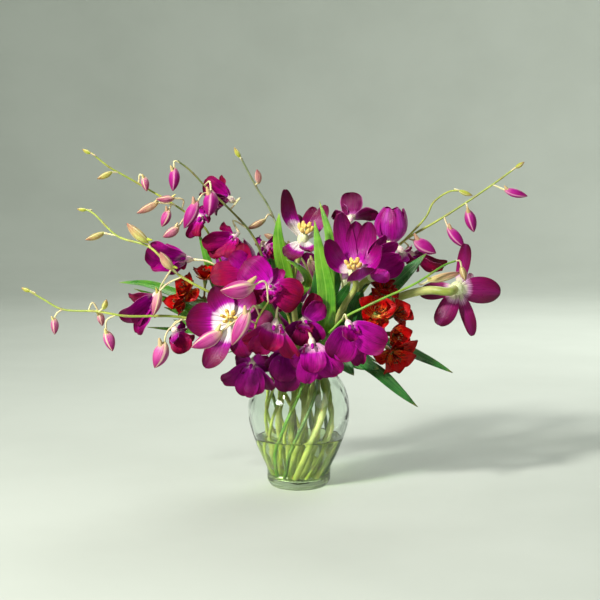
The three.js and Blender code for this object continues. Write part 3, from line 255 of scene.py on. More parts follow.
ORCHIDS = {
    1: Bloom([-32, -72, 247], [0.1, -0.97, 0.2], 10, [-24, -49, 235], [-30, -56, 246],
        [[-31, 4, 30, 17], [36, 2, -14, 17], [9, 10, 22, 8], [-24, 8, -16, 8], [16, 10, -29, 8],
         [-3, -12, -17, 7]]),
    2: Bloom([-58, -42, 262], [-0.5, -0.8, 0.3], 10, [-50, -36, 250], [-52, -32, 258],
        [[-45, -6, -6, 14], [-22, 0, 20, 13], [-8, -2, 34, 9], [14, 8, 18, 9], [10, 6, -22, 9]]),
    3: Bloom([-76, -12, 302], [-0.6, -0.7, -0.35], 4, [-62, 4, 311], [-78, 2, 320],
        [[-38, -8, -8, 10], [-30, -2, -24, 9], [-9, -10, -25, 9], [-14, -4, 16, 6],
         [13, -6, -24, 7]]),
    4: Bloom([-42, 18, 287], [-0.3, -0.8, -0.5], 4, [-47, 5, 285], [-44, 16, 294],
        [[24, -4, 3, 5], [21, -6, -12, 7], [5, -4, -15, 7], [16, 6, 12, 5], [-9, 6, 12, 6]],
        pale=0.9),
    5: Bloom([-83, 13, 345], [-0.85, -0.2, 0.45], 4, [-80, 1, 332], [-70, 10, 346],
        [[-31, 6, 21, 13], [-35, -10, 8, 9], [-10, 6, 28, 6], [-19, 2, -18, 8], [-27, -6, -1, 8]],
        pale=0.1),
    6: Bloom([-117, 6, 325], [-0.3, -0.6, -0.7], 1, [-120, 27, 314], [-116, 18, 328],
        [[-15, -6, -26, 6], [-4, -10, -24, 6], [12, -5, -4, 6], [-13, -1, 4, 5], [5, -6, 12, 5]],
        pale=0.8),
    7: Bloom([-131, -30, 276], [-0.75, -0.62, 0.1], 10, [-92, -28, 266], [-108, -29, 274],
        [[-43, -27, 14, 16], [-41, -14, -8, 10], [-24, -18, -6, 7], [-22, 2, -16, 7],
         [-30, 16, 12, 9]], pale=0.8, violet=True),
    8: Bloom([-169, -24, 232], [-0.7, -0.3, -0.65], 2, [-146, -62, 268], [-160, -40, 246],
        [[-42, -6, -25, 17], [-22, 4, -46, 9], [-1, -14, -24, 6], [-33, 12, -4, 9],
         [-25, -2, -33, 8]], pale=0.6),
    9: Bloom([-145, -30, 191], [0.35, -0.55, -0.75], 3, [-124, -47, 207], [-142, -34, 204],
        [[11, -6, -25, 11], [21, 2, -13, 8], [9, 6, 13, 7], [14, 12, 0, 7], [2, -14, -11, 6]],
        pale=0.5),
    10: Bloom([-27, -86, 206], [-0.15, -0.75, -0.65], 10, [-14, -48, 215], [-24, -78, 224],
        [[-36, -2, -22, 12], [-9, -14, -27, 13], [24, 2, -40, 10], [-27, 10, -34, 12],
         [10, 12, -34, 12]], pale=1.0),
    11: Bloom([-54, -62, 158], [-0.2, -0.75, -0.6], 11, [-40, -58, 172], [-48, -56, 168],
        [[-18, -2, 11, 12], [22, -8, 4, 13], [-8, 0, -40, 12], [7, -6, -36, 12], [22, 4, -34, 12],
         [-34, -2, -24, 11]], pale=-0.5, violet=True),
    12: Bloom([-15, -66, 172], [0, -0.8, -0.6], 11, [-12, -59, 185], [-13, -60, 182],
        [[3, 0, -48, 13], [-8, -8, -33, 14], [17, -8, -21, 13], [-18, 2, -22, 13]], pale=-0.7,
        violet=True),
    13: Bloom([15, -80, 184], [0.1, -0.8, -0.6], 11, [-2, -50, 178], [10, -66, 198],
        [[-7, -4, -47, 11], [2, -10, -33, 13], [31, 0, -38, 13], [14, 8, -43, 12],
         [-18, 4, -31, 11]], pale=1.0, violet=True),
    14: Bloom([7, -66, 208], [0.2, -0.8, -0.2], 10, [-8, -41, 196], [0, -50, 206],
        [[21, -8, 21, 11], [-4, -8, -29, 10], [12, -2, 32, 10], [-18, 2, -21, 11],
         [18, 4, -24, 10]], pale=-0.3),
    15: Bloom([57, -86, 206], [0.2, -0.85, -0.5], 8, [51, -67, 210], [53, -80, 217],
        [[-16, -6, -40, 17], [43, -6, -22, 16], [0, -14, -16, 9], [13, 8, -48, 9], [23, 6, -36, 9]],
        pale=0.3, violet=True),
    16: Bloom([122, 2, 282], [0.3, -0.5, -0.8], 6, [112, 26, 280], [118, 14, 290],
        [[-9, -8, -32, 12], [18, -4, -13, 8], [3, -12, -13, 6], [-20, 6, -14, 9], [14, 8, 5, 6]],
        pale=1.0),
    17: Bloom([62, 10, 323], [0.2, 0.6, 0.7], 7, [62, 37, 206], [46, 14, 296],
        [[0, 6, 30, 12.5], [34, 6, 3, 10], [-21, 14, 0, 8], [-7, 18, 14, 7], [12, 22, 4, 7]],
        pale=0.0),
    18: Bloom([136, 20, 278], [0.7, -0.2, -0.6], 6, [127, 24, 294], [132, 23, 288],
        [[38, 0, -20, 8], [44, 8, -12, 7], [10, -4, -20, 7], [22, 12, 4, 6]], pale=0.2),
    19: Bloom([10, 112, 238], [0.1, 0.95, 0.1], 12, [16, 84, 242], [14, 92, 246],
        [[-30, 4, 16, 16], [32, 4, 12, 16], [2, 2, 36, 9], [-18, 4, -30, 9], [20, 4, -28, 9]]),
    20: Bloom([-26, 88, 206], [-0.35, 0.85, -0.25], 12, [15, 58, 208], [-6, 76, 216],
        [[-34, -6, 12, 15], [28, 10, 14, 14], [-4, 6, 33, 8], [-20, -4, -30, 9], [14, 6, -32, 9]]),
}

# hub: where the florets' own stalks join. low_leaves: small ones, down in the bunch and neck.
# look: the leaves' material. bright_leaf, for the plant on the lamp's side, is partly painted
# light, and dark_leaf, for the right and back plants, partly painted shade.
Floret = namedtuple("Floret", "at petals")
Plant = namedtuple("Plant", "ring hub way florets leaves low_leaves look", defaults=["dark_leaf"])

ALSTROEMERIAS = {
    "right": Plant(["outer", -35], [84, -26, 192], [[44, -28, 174], [66, -28, 182]], florets=[
            Floret([98, -40, 236],
                [[-6, -4, 24, 9], [14, -4, 17, 9], [18, -8, -2, 9], [-14, 0, 14, 8],
                 [-12, -8, -2, 8]]),
            Floret([89, -54, 214],
                [[-18, -8, 20, 9], [4, -10, 22, 8], [24, -6, 12, 9], [4, -12, -19, 9.5],
                 [-14, -10, -8, 9]]),
            Floret([110, -42, 212],
                [[20, -2, 12, 8.5], [24, -6, -4, 8.5], [14, -8, -16, 8], [4, -8, 20, 8],
                 [17, 10, 2, 7]]),
            Floret([108, -50, 190], [[24, -6, 4, 8], [22, -6, -10, 8], [6, -10, -16, 8]]),
            Floret([107, -54, 170],
                [[31, -6, 14, 9], [29, -8, -5, 9.5], [10, -8, -24, 9], [-7, -6, -26, 9.5],
                 [-21, -8, -4, 9], [8, -10, 14, 8]]),
        ], leaves=[
            Leaf(11, [[64, -28, 181], [88, -17, 222], [124, -14, 256], [151, -14, 282]]),
            Leaf(8.5,
                [[60, -28, 178], [68, -46, 162], [92, -58, 146], [118, -60, 124], [139, -60, 106]],
                [0.4, -0.8, 0.5]),
            Leaf(13, [[54, -28, 175], [66, -50, 164], [92, -66, 152]], [0, -0.8, -0.3]),
            Leaf(8.5, [[64, -28, 179], [108, -26, 176], [146, -38, 160], [181, -40, 143]],
                [0.2, -0.7, 0.7]),
            Leaf(10, [[50, -28, 173], [52, -46, 160], [64, -60, 143]]),
            Leaf(4.5, [[62, -28, 180], [60, -32, 214], [72, -28, 240], [86, -24, 248]]),
        ], low_leaves=[
            Leaf(5.5, [[26, -18, 160], [20, -22, 150], [14, -26, 138], [12, -30, 124]]),
            Leaf(10, [[36, -24, 172], [28, -8, 196], [30, 2, 218], [34, 6, 240]]),
            Leaf(11, [[40, -26, 173], [58, -14, 196], [70, -6, 218], [76, -4, 240]]),
            Leaf(10, [[52, -28, 175], [76, -36, 176], [92, -44, 186], [100, -46, 200]]),
        ]),
    # this plant stands on the lamp's side: its bright_leaf look is partly painted light
    "left": Plant(["outer", 178], [-112, -14, 226], [[-52, -4, 176], [-84, -8, 202]],
        look="bright_leaf", florets=[
            Floret([-128, -26, 240],
                [[-16, -6, 12, 8], [-3, 0, 18, 8], [8, -8, -12, 8], [-14, -2, -15, 8],
                 [-9, -14, 0, 7]]),
            Floret([-110, -22, 252],
                [[-13, -4, 13, 8], [8, -2, 17, 8], [-4, 8, 17, 7], [16, -8, 0, 8],
                 [3, -12, 12, 7]]),
            Floret([-134, -22, 226], [[-26, -4, 0, 6], [-16, -10, -8, 6.5], [-8, -2, -14, 6]]),
        ], leaves=[
            Leaf(9, [[-84, -8, 202], [-128, 0, 224], [-176, -16, 244], [-211, -30, 249]],
                [0, -0.6, 0.8]),
            Leaf(4.5, [[-78, -7, 197], [-130, 4, 214], [-168, -10, 230], [-194, -24, 241]]),
            Leaf(5, [[-74, -7, 194], [-122, -2, 204], [-160, -14, 218]]),
            Leaf(5.5, [[-64, -6, 186], [-112, 0, 192], [-150, -6, 202]]),
            Leaf(3.5, [[-58, -5, 180], [-120, 6, 186], [-181, -6, 193]]),
            Leaf(6, [[-80, -8, 199], [-104, 10, 256], [-120, 4, 308]]),
            Leaf(6.5, [[-76, -8, 196], [-86, -18, 246], [-112, -20, 274]]),
        ], low_leaves=[
            Leaf(6.5, [[-30, 0, 160], [-24, 8, 148], [-18, 14, 132], [-16, 16, 114]]),
            Leaf(10, [[-44, -3, 172], [-34, 4, 196], [-36, 6, 220], [-44, 8, 244]]),
            Leaf(9, [[-60, -5, 184], [-78, 6, 206], [-84, 8, 230], [-96, 6, 250]]),
        ]),
    "back": Plant(["outer", 86], [6, 80, 192], [[6, 48, 178]], florets=[
            Floret([-16, 102, 190],
                [[-16, 6, 14, 6], [10, 8, 16, 6], [-20, 6, -8, 6], [-4, 10, -20, 6],
                 [14, 12, -6, 6]]),
            Floret([26, 102, 192],
                [[-10, 8, 18, 6], [14, 6, 16, 6], [20, 6, -4, 6], [4, 10, -20, 6],
                 [-14, 10, -8, 6]]),
            Floret([6, 106, 168],
                [[-18, 6, -4, 6], [16, 6, -6, 6], [0, 8, -20, 6], [8, 12, 12, 5],
                 [-10, 12, 10, 5]]),
        ], leaves=[
            Leaf(9, [[6, 52, 178], [-26, 80, 166], [-58, 98, 158], [-92, 104, 146]], [0, 0.6, 0.8]),
            Leaf(9, [[6, 54, 179], [40, 82, 164], [72, 94, 150], [100, 98, 134]], [0, 0.6, 0.8]),
            Leaf(7, [[6, 62, 182], [44, 92, 208], [64, 110, 208], [80, 118, 226]], [0, 0.8, 0.4]),
            Leaf(8, [[6, 60, 181], [-40, 96, 178], [-66, 94, 202], [-90, 98, 226]], [0, 0.8, 0.5]),
            Leaf(13, [[6, 50, 178], [26, 44, 212], [42, 38, 246], [52, 30, 282]], [0, -1, 0.3]),
            Leaf(13, [[6, 50, 178], [-14, 46, 212], [-30, 44, 246], [-36, 40, 284]], [0, -1, 0.3]),
        ], low_leaves=[
            Leaf(7, [[2, 27, 158], [-8, 21, 146], [-16, 18, 128], [-18, 20, 108]]),
            Leaf(6.5, [[3, 29, 162], [12, 20, 150], [18, 14, 134], [20, 14, 116]]),
            Leaf(6, [[2, 26, 154], [2, 16, 144], [0, 10, 130], [-2, 8, 114]]),
            Leaf(9, [[3, 24, 160], [-4, 6, 150], [-5, -6, 136], [-4, -10, 114]]),
            Leaf(8, [[3, 24, 158], [9, 4, 146], [8, -4, 130], [6, -8, 108]]),
            Leaf(11, [[5, 44, 176], [16, 24, 206], [22, 12, 236], [20, 6, 262]]),
            Leaf(11, [[5, 46, 177], [-4, 26, 208], [-12, 14, 232], [-12, 10, 256]]),
            Leaf(11, [[5, 44, 176], [34, 26, 202], [54, 8, 232], [62, 0, 248]]),
        ]),
}

# ---------------------------------------------------------------- vectors and curves
UP = np.array((0.0, 0.0, 1.0))


def vec(p):
    return np.array(p, float)


def unit(v):
    return v / max(np.linalg.norm(v), 1e-9)


def smooth(x):
    x = np.clip(x, 0.0, 1.0)
    return x * x * (3 - 2 * x)


def curve_through(points, fine=14):
    """A centripetal curve through the points, as a row of closely spaced points."""
    pts = [vec(p) for p in points]
    pts = [2 * pts[0] - pts[1]] + pts + [2 * pts[-1] - pts[-2]]
    row = [pts[1]]
    for p0, p1, p2, p3 in zip(pts, pts[1:], pts[2:], pts[3:]):
        d0, d1, d2 = [max(np.linalg.norm(b - a) ** 0.5, 1e-3)
                      for a, b in ((p0, p1), (p1, p2), (p2, p3))]
        t1 = ((p1 - p0) / d0 - (p2 - p0) / (d0 + d1) + (p2 - p1) / d1) * d1
        t2 = ((p2 - p1) / d1 - (p3 - p1) / (d1 + d2) + (p3 - p2) / d2) * d1
        for i in range(1, fine + 1):
            s = i / fine
            row.append((2 * s**3 - 3 * s**2 + 1) * p1 + (s**3 - 2 * s**2 + s) * t1
                       + (3 * s**2 - 2 * s**3) * p2 + (s**3 - s**2) * t2)
    return np.array(row)


def reach_along(row):
    """How far along a row of points each of them is."""
    return np.concatenate([[0], np.cumsum(np.linalg.norm(np.diff(row, axis=0), axis=1))])


def spaced(row, count):
    """count points at even distances along a row of points."""
    reach = reach_along(row)
    at = np.linspace(0, reach[-1], count)
    return np.stack([np.interp(at, reach, row[:, i]) for i in range(3)], axis=1)


def straight(start, end, count):
    return spaced(np.array([start, end]), count)


def nearest(row, target):
    """The point of a row that lies closest to the target."""
    return row[np.argmin(np.linalg.norm(row - vec(target), axis=1))]


def across(face):
    """Two directions square to the way a flower faces and to each other."""
    side = unit(np.cross((0.2, 0.3, 1), face))
    return side, np.cross(face, side)


def spoke(face, share):
    """The direction outwards from a flower's middle, after a share of a turn round it."""
    side, other = across(face)
    angle = share * 2 * math.pi
    return math.cos(angle) * side + math.sin(angle) * other


def stalk_path(ring, neck_angle, way):
    """The stems stand in rings and spiral up together, so that none crosses another."""
    foot, belly, neck, rim = RINGS[ring]

    def stand(radius, degrees, height):
        a = math.radians(degrees)
        return vec((radius * math.cos(a), radius * math.sin(a), height))

    in_vase = []
    for t in (0, 0.25, 0.5, 0.75, 1):
        bulge = (belly - (foot + neck) / 2) * math.sin(math.pi * t)
        in_vase.append(stand(foot + (neck - foot) * t + bulge, neck_angle - STEM_TURN * (1 - t),
                             STEM_FOOT + (NECK_HEIGHT - STEM_FOOT) * t))
    row = curve_through([*in_vase, stand(rim, neck_angle, RIM_HEIGHT), *way])
    return spaced(row, int(reach_along(row)[-1] / STALK_STEP) + 1)


# ---------------------------------------------------------------- mesh building
class Skin:
    """A mesh in the making, with what its material reads at each point.

    u runs along, v across, side is 1 on an inner face, tone is a chance value for each petal,
    and pale says how far a bloom's back has faded.
    """
    FIELDS = ("u", "v", "side", "tone", "pale")

    def __init__(self):
        self.points, self.faces, self.slots = [], [], []
        self.fields = {name: [] for name in self.FIELDS}

    def add(self, points, faces, slot=0, **fields):
        start = len(self.points)
        self.points.extend(np.asarray(points) * MM)
        self.faces.extend([[i + start for i in face] for face in faces])
        self.slots.extend([slot] * len(faces))
        for name in self.FIELDS:
            value = np.broadcast_to(np.asarray(fields.get(name, 0.0), float), (len(points),))
            self.fields[name].extend(value)

    def build(self, name, materials, slot_name, node):
        mesh = bpy.data.meshes.new(name)
        mesh.from_pydata([tuple(p) for p in self.points], [], self.faces)
        for field, values in self.fields.items():
            mesh.attributes.new(field, "FLOAT", "POINT").data.foreach_set(
                "value", np.array(values, np.float32))
        for material in materials:
            mesh.materials.append(material)
        mesh.polygons.foreach_set("material_index", self.slots)
        mesh.polygons.foreach_set("use_smooth", [True] * len(self.faces))
        mesh.validate()
        mesh.update()
        piece = bpy.data.objects.new(name, mesh)
        bpy.context.scene.collection.objects.link(piece)
        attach(piece, "root")
        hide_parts(node)


def ring_faces(rings, sides, close_start=False, close_end=False):
    """The faces between rings of points that follow each other in one list."""
    faces = []
    for i in range(rings - 1):
        for j in range(sides):
            k = (j + 1) % sides
            faces.append((i * sides + j, i * sides + k, (i + 1) * sides + k, (i + 1) * sides + j))
    if close_start:
        faces.append(tuple(reversed(range(sides))))
    if close_end:
        faces.append(tuple(range((rings - 1) * sides, rings * sides)))
    return faces


def tube(skin, row, radii, sides=10, slot=0, lobes=0.0, count=3, **fields):
    """A round rod along a row of points, with a radius at each and softly rounded ends.

    lobes: how far count lobes stand out round it, as a share of the radius.
    """
    end_reach, end_size = 0.45, 0.55
    row = np.asarray(row, float)
    radii = np.broadcast_to(np.asarray(radii, float), (len(row),))
    tangents = np.array([unit(t) for t in np.gradient(row, axis=0)])
    row = np.vstack([row[0] - tangents[0] * radii[0] * end_reach, row,
                     row[-1] + tangents[-1] * radii[-1] * end_reach])
    radii = np.concatenate([[radii[0] * end_size], radii, [radii[-1] * end_size]])
    tangents = np.vstack([tangents[0], tangents, tangents[-1]])
    side = unit(np.cross((0.31, 0.55, 0.77), tangents[0]))
    around = np.linspace(0, 2 * math.pi, sides, endpoint=False)
    swell = 1 + lobes * np.cos(count * around)
    points = []
    for centre, tangent, radius in zip(row, tangents, radii):
        side = unit(side - tangent * side.dot(tangent))
        other = np.cross(tangent, side)
        points.append(centre + radius * swell[:, None] * (
            np.cos(around)[:, None] * side + np.sin(around)[:, None] * other))
    fields.setdefault("u", np.repeat(np.linspace(0, 1, len(row)), sides))
    fields.setdefault("v", np.tile(np.abs(np.cos(around * count / 2)), len(row)))
    skin.add(np.concatenate(points), ring_faces(len(row), sides, True, True), slot, **fields)


def shell(skin, place, us, vs, thick, slot=0, tone=0.5, pale=0.0):
    """A thin closed blade: place(u, v) gives a point and the inner face's normal."""
    wide, long = len(vs), len(us)
    inner, outer = [], []
    for u in us:
        for v in vs:
            point, normal = place(u, v)
            depth = thick * (1 - 0.55 * v * v) * (1 - 0.6 * u**3)    # thinner towards its rims
            inner.append(point + normal * depth * 0.5)
            outer.append(point - normal * depth * 0.5)
    count = wide * long
    faces = []
    for i in range(long - 1):
        for j in range(wide - 1):
            a = i * wide + j
            quad = (a, a + 1, a + 1 + wide, a + wide)
            faces += [quad, tuple(count + k for k in reversed(quad))]
    edge = [*range(wide), *range(2 * wide - 1, count, wide),
            *range(count - 2, count - wide - 1, -1), *range(count - 2 * wide, 0, -wide)]
    for a, b in zip(edge, edge[1:] + edge[:1]):
        faces.append((b, a, a + count, b + count))
    skin.add(np.array(inner + outer), faces, slot, u=np.tile(np.repeat(us, wide), 2),
             v=np.tile(vs, 2 * long), side=np.repeat((1.0, 0.0), count), tone=tone, pale=pale)


# ---------------------------------------------------------------- petals
# rise, fall: the outline is u^rise (1-u)^fall, widest at wide times the half width. cup: how
# far the rims stand over the middle. wave: how far an edge wanders, and fold: how deep the
# long folds run, in mm. twist: how far a tip may turn. root and nest are the part's own: where
# a petal starts, and how far its whorl lies above or below the other one.
Shape = namedtuple("Shape", "rise fall wide cup wave fold twist thick root nest rows columns")
PETALS = {
    "tulip": Shape(0.55, 0.42, 1.06, 0.22, 0.9, 0.55, 0.2, 0.9, 4, 1.6, 19, 15),
    "cup": Shape(0.5, 0.32, 1.08, 0.4, 0.5, 0.45, 0.08, 0.9, 4, 1.6, 19, 15),
    "orchid": Shape(0.52, 0.33, 1.18, 0.16, 2.1, 1.25, 0.3, 0.8, 2.6, 1.3, 18, 15),
    "alstroemeria": Shape(0.95, 0.9, 1.42, 0.3, 1.1, 0.6, 0.35, 0.6, 1.2, 0.7, 12, 9),
}


def petal(skin, at, face, tip, kind, belly, whorl, chance, pale=0.0, hue=1.0):
    """One petal, bent along its middle from the flower's heart to its tip, and its chance folds."""
    shape = PETALS[kind]
    half = tip[3]
    tip = vec(tip[:3])
    height = tip.dot(face)
    radial = tip - face * height
    reach = np.linalg.norm(radial)
    radial = unit(radial)
    lateral = np.cross(face, radial)
    length = math.hypot(reach, height)
    bow = 2 * belly * length
    ends = [vec((shape.root, whorl * shape.nest)),
            vec(((shape.root + reach) / 2 + bow * height / length,
                 height / 2 - bow * reach / length)),
            vec((reach, height))]
    peak = shape.rise / (shape.rise + shape.fall)
    top = peak**shape.rise * (1 - peak) ** shape.fall
    phase = [chance.uniform(0, 6.28) for _ in range(4)]
    twist = chance.uniform(-1, 1) * shape.twist
    curl = chance.uniform(0.2, 1.0) * shape.wave * 1.4
    cup = chance.uniform(0.5, 1.5) * shape.cup
    lean = chance.uniform(-0.14, 0.14)

    def place(u, v):
        centre = (1 - u) ** 2 * ends[0] + 2 * u * (1 - u) * ends[1] + u**2 * ends[2]
        slope = unit(2 * (1 - u) * (ends[1] - ends[0]) + 2 * u * (ends[2] - ends[1]))
        normal = -slope[1] * radial + slope[0] * face
        width = half * shape.wide * max(u, 0.004) ** shape.rise * max(1 - u, 0.0) ** shape.fall / top
        width = max(width * (1 + lean * u * math.copysign(1, v)), 0.5)
        turn = twist * u * u
        side = math.cos(turn) * lateral + math.sin(turn) * normal
        wave = shape.wave * abs(v) ** 2 * u * (
            math.sin(6.5 * u + phase[0] + 1.2 * (v > 0)) + 0.5 * math.sin(13 * u + phase[1]))
        fold = shape.fold * u * (math.sin(3.6 * v + phase[2])
                                 + 0.45 * math.sin(8.2 * v + 3 * u + phase[3]))
        lift = cup * width * v * v - 0.35 * (1 - abs(v)) ** 2
        lift += wave - curl * smooth((u - 0.7) / 0.3) + fold
        along = radial * slope[0] + face * slope[1]
        back = 0.1 * width * v * v * smooth((u - 0.5) * 2)
        point = at + radial * centre[0] + face * centre[1] + side * width * v
        return point + normal * lift - along * back, normal

    # closer rows at the tip, which stops short of the point where the width is nothing
    us = 1 - (1 - np.linspace(0, 1, shape.rows)) ** 1.35
    us[-1] = 0.992
    vs = np.sin(np.linspace(-1, 1, shape.columns) * math.pi / 2)
    shell(skin, place, us, vs, shape.thick, 0, chance.random() * hue, pale)


def whorls(skin, at, face, petals, kind, belly, chance, pale=0.0, hue=1.0, nest=0.0):
    """All the petals of a flower: neighbours lie in turn a little lower and higher.

    nest: how much less the inner ones bow out.
    """
    side, other = across(face)

    def bearing(p):
        return math.atan2(vec(p[:3]).dot(other), vec(p[:3]).dot(side))

    for i, tip in enumerate(sorted(petals, key=bearing)):
        inner = i % 2
        petal(skin, at, face, tip, kind, belly - nest * inner, 2 * inner - 1, chance, pale, hue)


# ---------------------------------------------------------------- flowers
def cup_petals(face, height, mouth, half):
    """The six petals of a tulip that is still closed to a cup: three inside three."""
    spin = np.array(Vector(UP).rotation_difference(Vector(face)).to_matrix())
    petals = []
    for i in range(6):
        reach = mouth + (0 if i % 2 else 3)
        a = i / 6 * 2 * math.pi
        petals.append([*(spin @ vec((reach * math.cos(a), reach * math.sin(a), height))), half])
    return petals


def tulip_flower(name, tulip, looks):
    """A tulip's petals on their receptacle, and its heart where it is open."""
    chance = random.Random(name)
    face, at = unit(vec(tulip.face)), vec(tulip.at)
    skin = Skin()
    swell = np.sin(np.linspace(0.75, 2.4, 9)) * (tulip.stalk + RECEPTACLE)
    tube(skin, straight(at - face * 6, at + face * 7, 9), swell, 14, slot=1, u=0.2)
    if tulip.cup:
        whorls(skin, at, face, cup_petals(face, *tulip.cup), "cup", tulip.belly, chance,
               tulip.white, nest=0.1)
    else:
        whorls(skin, at, face, tulip.petals, "tulip", tulip.belly, chance, tulip.white)
    skin.build(name + "_bloom", [looks["tulip"], looks["heart"]], "tulip_petal",
               name + "_petals")
    if tulip.stamens:
        tulip_heart(name, face, at, chance, looks)


def tulip_heart(name, face, at, chance, looks):
    """A three-lobed pistil inside six anthers on pale filaments."""
    skin = Skin()
    foot = at + face * 6.4
    tube(skin, straight(foot, foot + face * 11, 8), [2.6, 2.7, 2.6, 2.4, 2.2, 2.1, 2.3, 2.6], 12,
         slot=1, lobes=0.12, u=0.45)
    for i in range(3):
        out = spoke(face, i / 3)
        lobe = curve_through([foot + face * 10, foot + face * 13 + out * 2.2,
                              foot + face * 11.4 + out * 4.6], 5)
        tube(skin, lobe, np.linspace(1.7, 1.0, len(lobe)), 8)
    for i in range(6):
        out = spoke(face, i / 6 + chance.uniform(-0.15, 0.15) / (2 * math.pi))
        base, joint = foot + face * 1.5 + out * 1.6, foot + face * 5.4 + out * 4.6
        tip = foot + face * chance.uniform(12, 14.5) + out * chance.uniform(7.5, 9.5)
        tube(skin, curve_through([base, joint], 4), np.linspace(1.0, 0.7, 5), 8, slot=1, u=0.6)
        anther = curve_through([joint, (joint + tip) / 2 + out * 0.9, tip], 6)
        bulge = 1.2 + 1.0 * np.sin(np.linspace(0.2, 2.9, len(anther)))
        tube(skin, anther, bulge, 10, lobes=0.22, count=2)
    skin.build(name + "_heart", [looks["anther"], looks["heart"]], "anther", name + "_stamens")


def orchid_flower(name, bloom, looks):
    """One open orchid, with the chin that its pedicel ends in."""
    chance = random.Random(name)
    face, at = unit(vec(bloom.face)), vec(bloom.at)
    skin = Skin()
    # the chin behind the flower, paling into the pedicel
    tube(skin, straight(at - face * 9, at + face * 4, 9),
         [1.9, 2.5, 3.2, 3.9, 4.3, 4.2, 3.7, 3.0, 2.0], 12, slot=1,
         u=np.repeat(np.linspace(0, 0.5, 11), 12))
    whorls(skin, at, face, bloom.petals, "orchid", -0.05, chance, bloom.pale,
           0.4 if bloom.violet else 1.0)
    orchid_heart(skin, bloom, face, at, chance)
    skin.build(name + "_petals", [looks["orchid"], looks["column"]], "orchid_petal", name)


def orchid_heart(skin, bloom, face, at, chance):
    """The column, and round it the lip: two side lobes and a frilled tongue."""
    lowest = min(bloom.petals, key=lambda p: p[2])
    down = unit(np.cross(np.cross(face, unit(vec(lowest[:3]))), face))
    column = curve_through([at + face * 1.5, at + face * 5.5 - down * 0.9, at + face * 8.4], 5)
    tube(skin, column, np.linspace(2.5, 1.5, len(column)), 10, u=0.22, side=1, tone=0.2)
    aside = np.cross(face, down)
    for turn, half in ((-0.75, 4.4), (0.75, 4.4), (0.0, 5.8)):
        way = math.cos(turn) * down + math.sin(turn) * aside
        tip = face * (8.5 + 3 * abs(turn)) + way * 10.5
        petal(skin, at - down, face, [*tip, half], "orchid", 0.22, 1, chance, bloom.pale)


def alstroemeria_heads(name, plant, looks):
    """The red florets of one head, on stalks that spring from its hub."""
    chance = random.Random(name)
    hub = vec(plant.hub)
    skin = Skin()
    tube(skin, straight(hub - UP * HUB_HALF, hub + UP * HUB_HALF, 5),
         [2.6, 3.4, 3.6, 3.3, 2.4], 12, slot=1)
    for floret in plant.florets:
        middle = vec(floret.at)
        face = unit(middle - hub)
        tube(skin, straight(hub, middle + face * 2, 12),
             np.interp(np.linspace(0, 1, 12), (0, 0.6, 0.86, 1), (1.2, 1.3, 3.0, 2.4)),
             12, slot=1, lobes=0.06, count=6)
        whorls(skin, middle, face, floret.petals, "alstroemeria", -0.02, chance)
        # slim streaked petals inside, marked by pale, and the stamens with their dark pollen
        for i in range(5):
            out = spoke(face, (i + chance.uniform(0.2, 0.8)) / 5)
            tip = face * chance.uniform(8, 14) + out * chance.uniform(13, 19)
            petal(skin, middle, face, [*tip, 4.6], "alstroemeria", 0.1, 1, chance, 1.0)
        for i in range(6):
            out = spoke(face, i / 6 + chance.uniform(-0.3, 0.3) / (2 * math.pi))
            row = curve_through([middle + face * 1.5, middle + face * 8 + out * 1.6,
                                 middle + face * 13.5 + out * chance.uniform(3, 5) - UP * 1.5], 5)
            tube(skin, row, np.linspace(0.5, 0.35, len(row)), 6, u=0.9, tone=1)
            tube(skin, row[-1] + face * np.linspace(-1, 1.2, 4)[:, None], [0.5, 0.8, 0.8, 0.5], 6,
                 slot=2)
    skin.build(name + "_heads", [looks["red"], looks["red_stalk"], looks["pollen"]],
               "alstroemeria_red", name + "_flowers")


# ---------------------------------------------------------------- stems, buds and leaves
def tulip_stem(name, tulip, looks):
    """A tulip's stem, from its cut end to the receptacle, with its leaves."""
    face, at = unit(vec(tulip.face)), vec(tulip.at)
    neck = [at - face * depth for depth in TULIP_NECK]
    path = stalk_path(*tulip.ring, [*tulip.via, *neck])
    skin = Skin()
    tube(skin, path, np.linspace(TULIP_STEM, tulip.stalk, len(path)), 14,
         tone=random.Random(name).random())
    for leaf in tulip.leaves:
        add_leaf(skin, leaf, path)
    skin.build(name + "_stalk", [looks["tulip_stem"], looks["tulip_leaf"]], "tulip_green",
               name + "_stem")


def arch(path, start, over, end):
    """A pedicel's middle line, from the spray to the flower or bud that it carries."""
    start = nearest(path, start)
    if over is None:
        return straight(start, end, 6)
    return spaced(curve_through([start, over, end]), 14)


def add_bud(stem_skin, bud_skin, bud, path, chance, ripe):
    """A bud and its pedicel. One without a start ends the spray itself."""
    base, tip, r = vec(bud.base), vec(bud.tip), bud.radius
    axis = unit(tip - base)
    if bud.start:
        row = arch(path, bud.start, bud.over, base + axis * r * 0.3)
    else:
        row = straight(base - axis * 6, base + axis * r * 0.3, 5)
    tube(stem_skin, row, np.linspace(PEDICEL * 0.85, min(PEDICEL * 1.1, 0.5 * r), len(row)), 8,
         slot=1)
    sag = unit(np.cross(np.cross(axis, (0.3, 0.4, -1)), axis)) * r * 0.16
    body = [base + (tip - base) * s + sag * math.sin(math.pi * s) for s, _ in BUD_ROUND]
    marks = {"side": min(1.0, r / 8), "pale": ripe}
    tube(bud_skin, body, [max(size * r * BUD_SWELL, 0.35) for _, size in BUD_ROUND], 15, lobes=0.06,
         tone=chance.random(), **marks)
    # the chin, a blunt bulge under the bud's foot
    if r > BUD_WITH_CHIN:
        chin = curve_through([base + axis * r * 0.9 - sag, base + axis * r * 0.1 - sag * 5,
                              base - axis * r * 0.35 - sag * 7.2], 5)
        tube(bud_skin, chin, np.linspace(r * 0.46, r * 0.16, len(chin)), 10, u=0.08, v=0.5,
             tone=chance.random(), **marks)


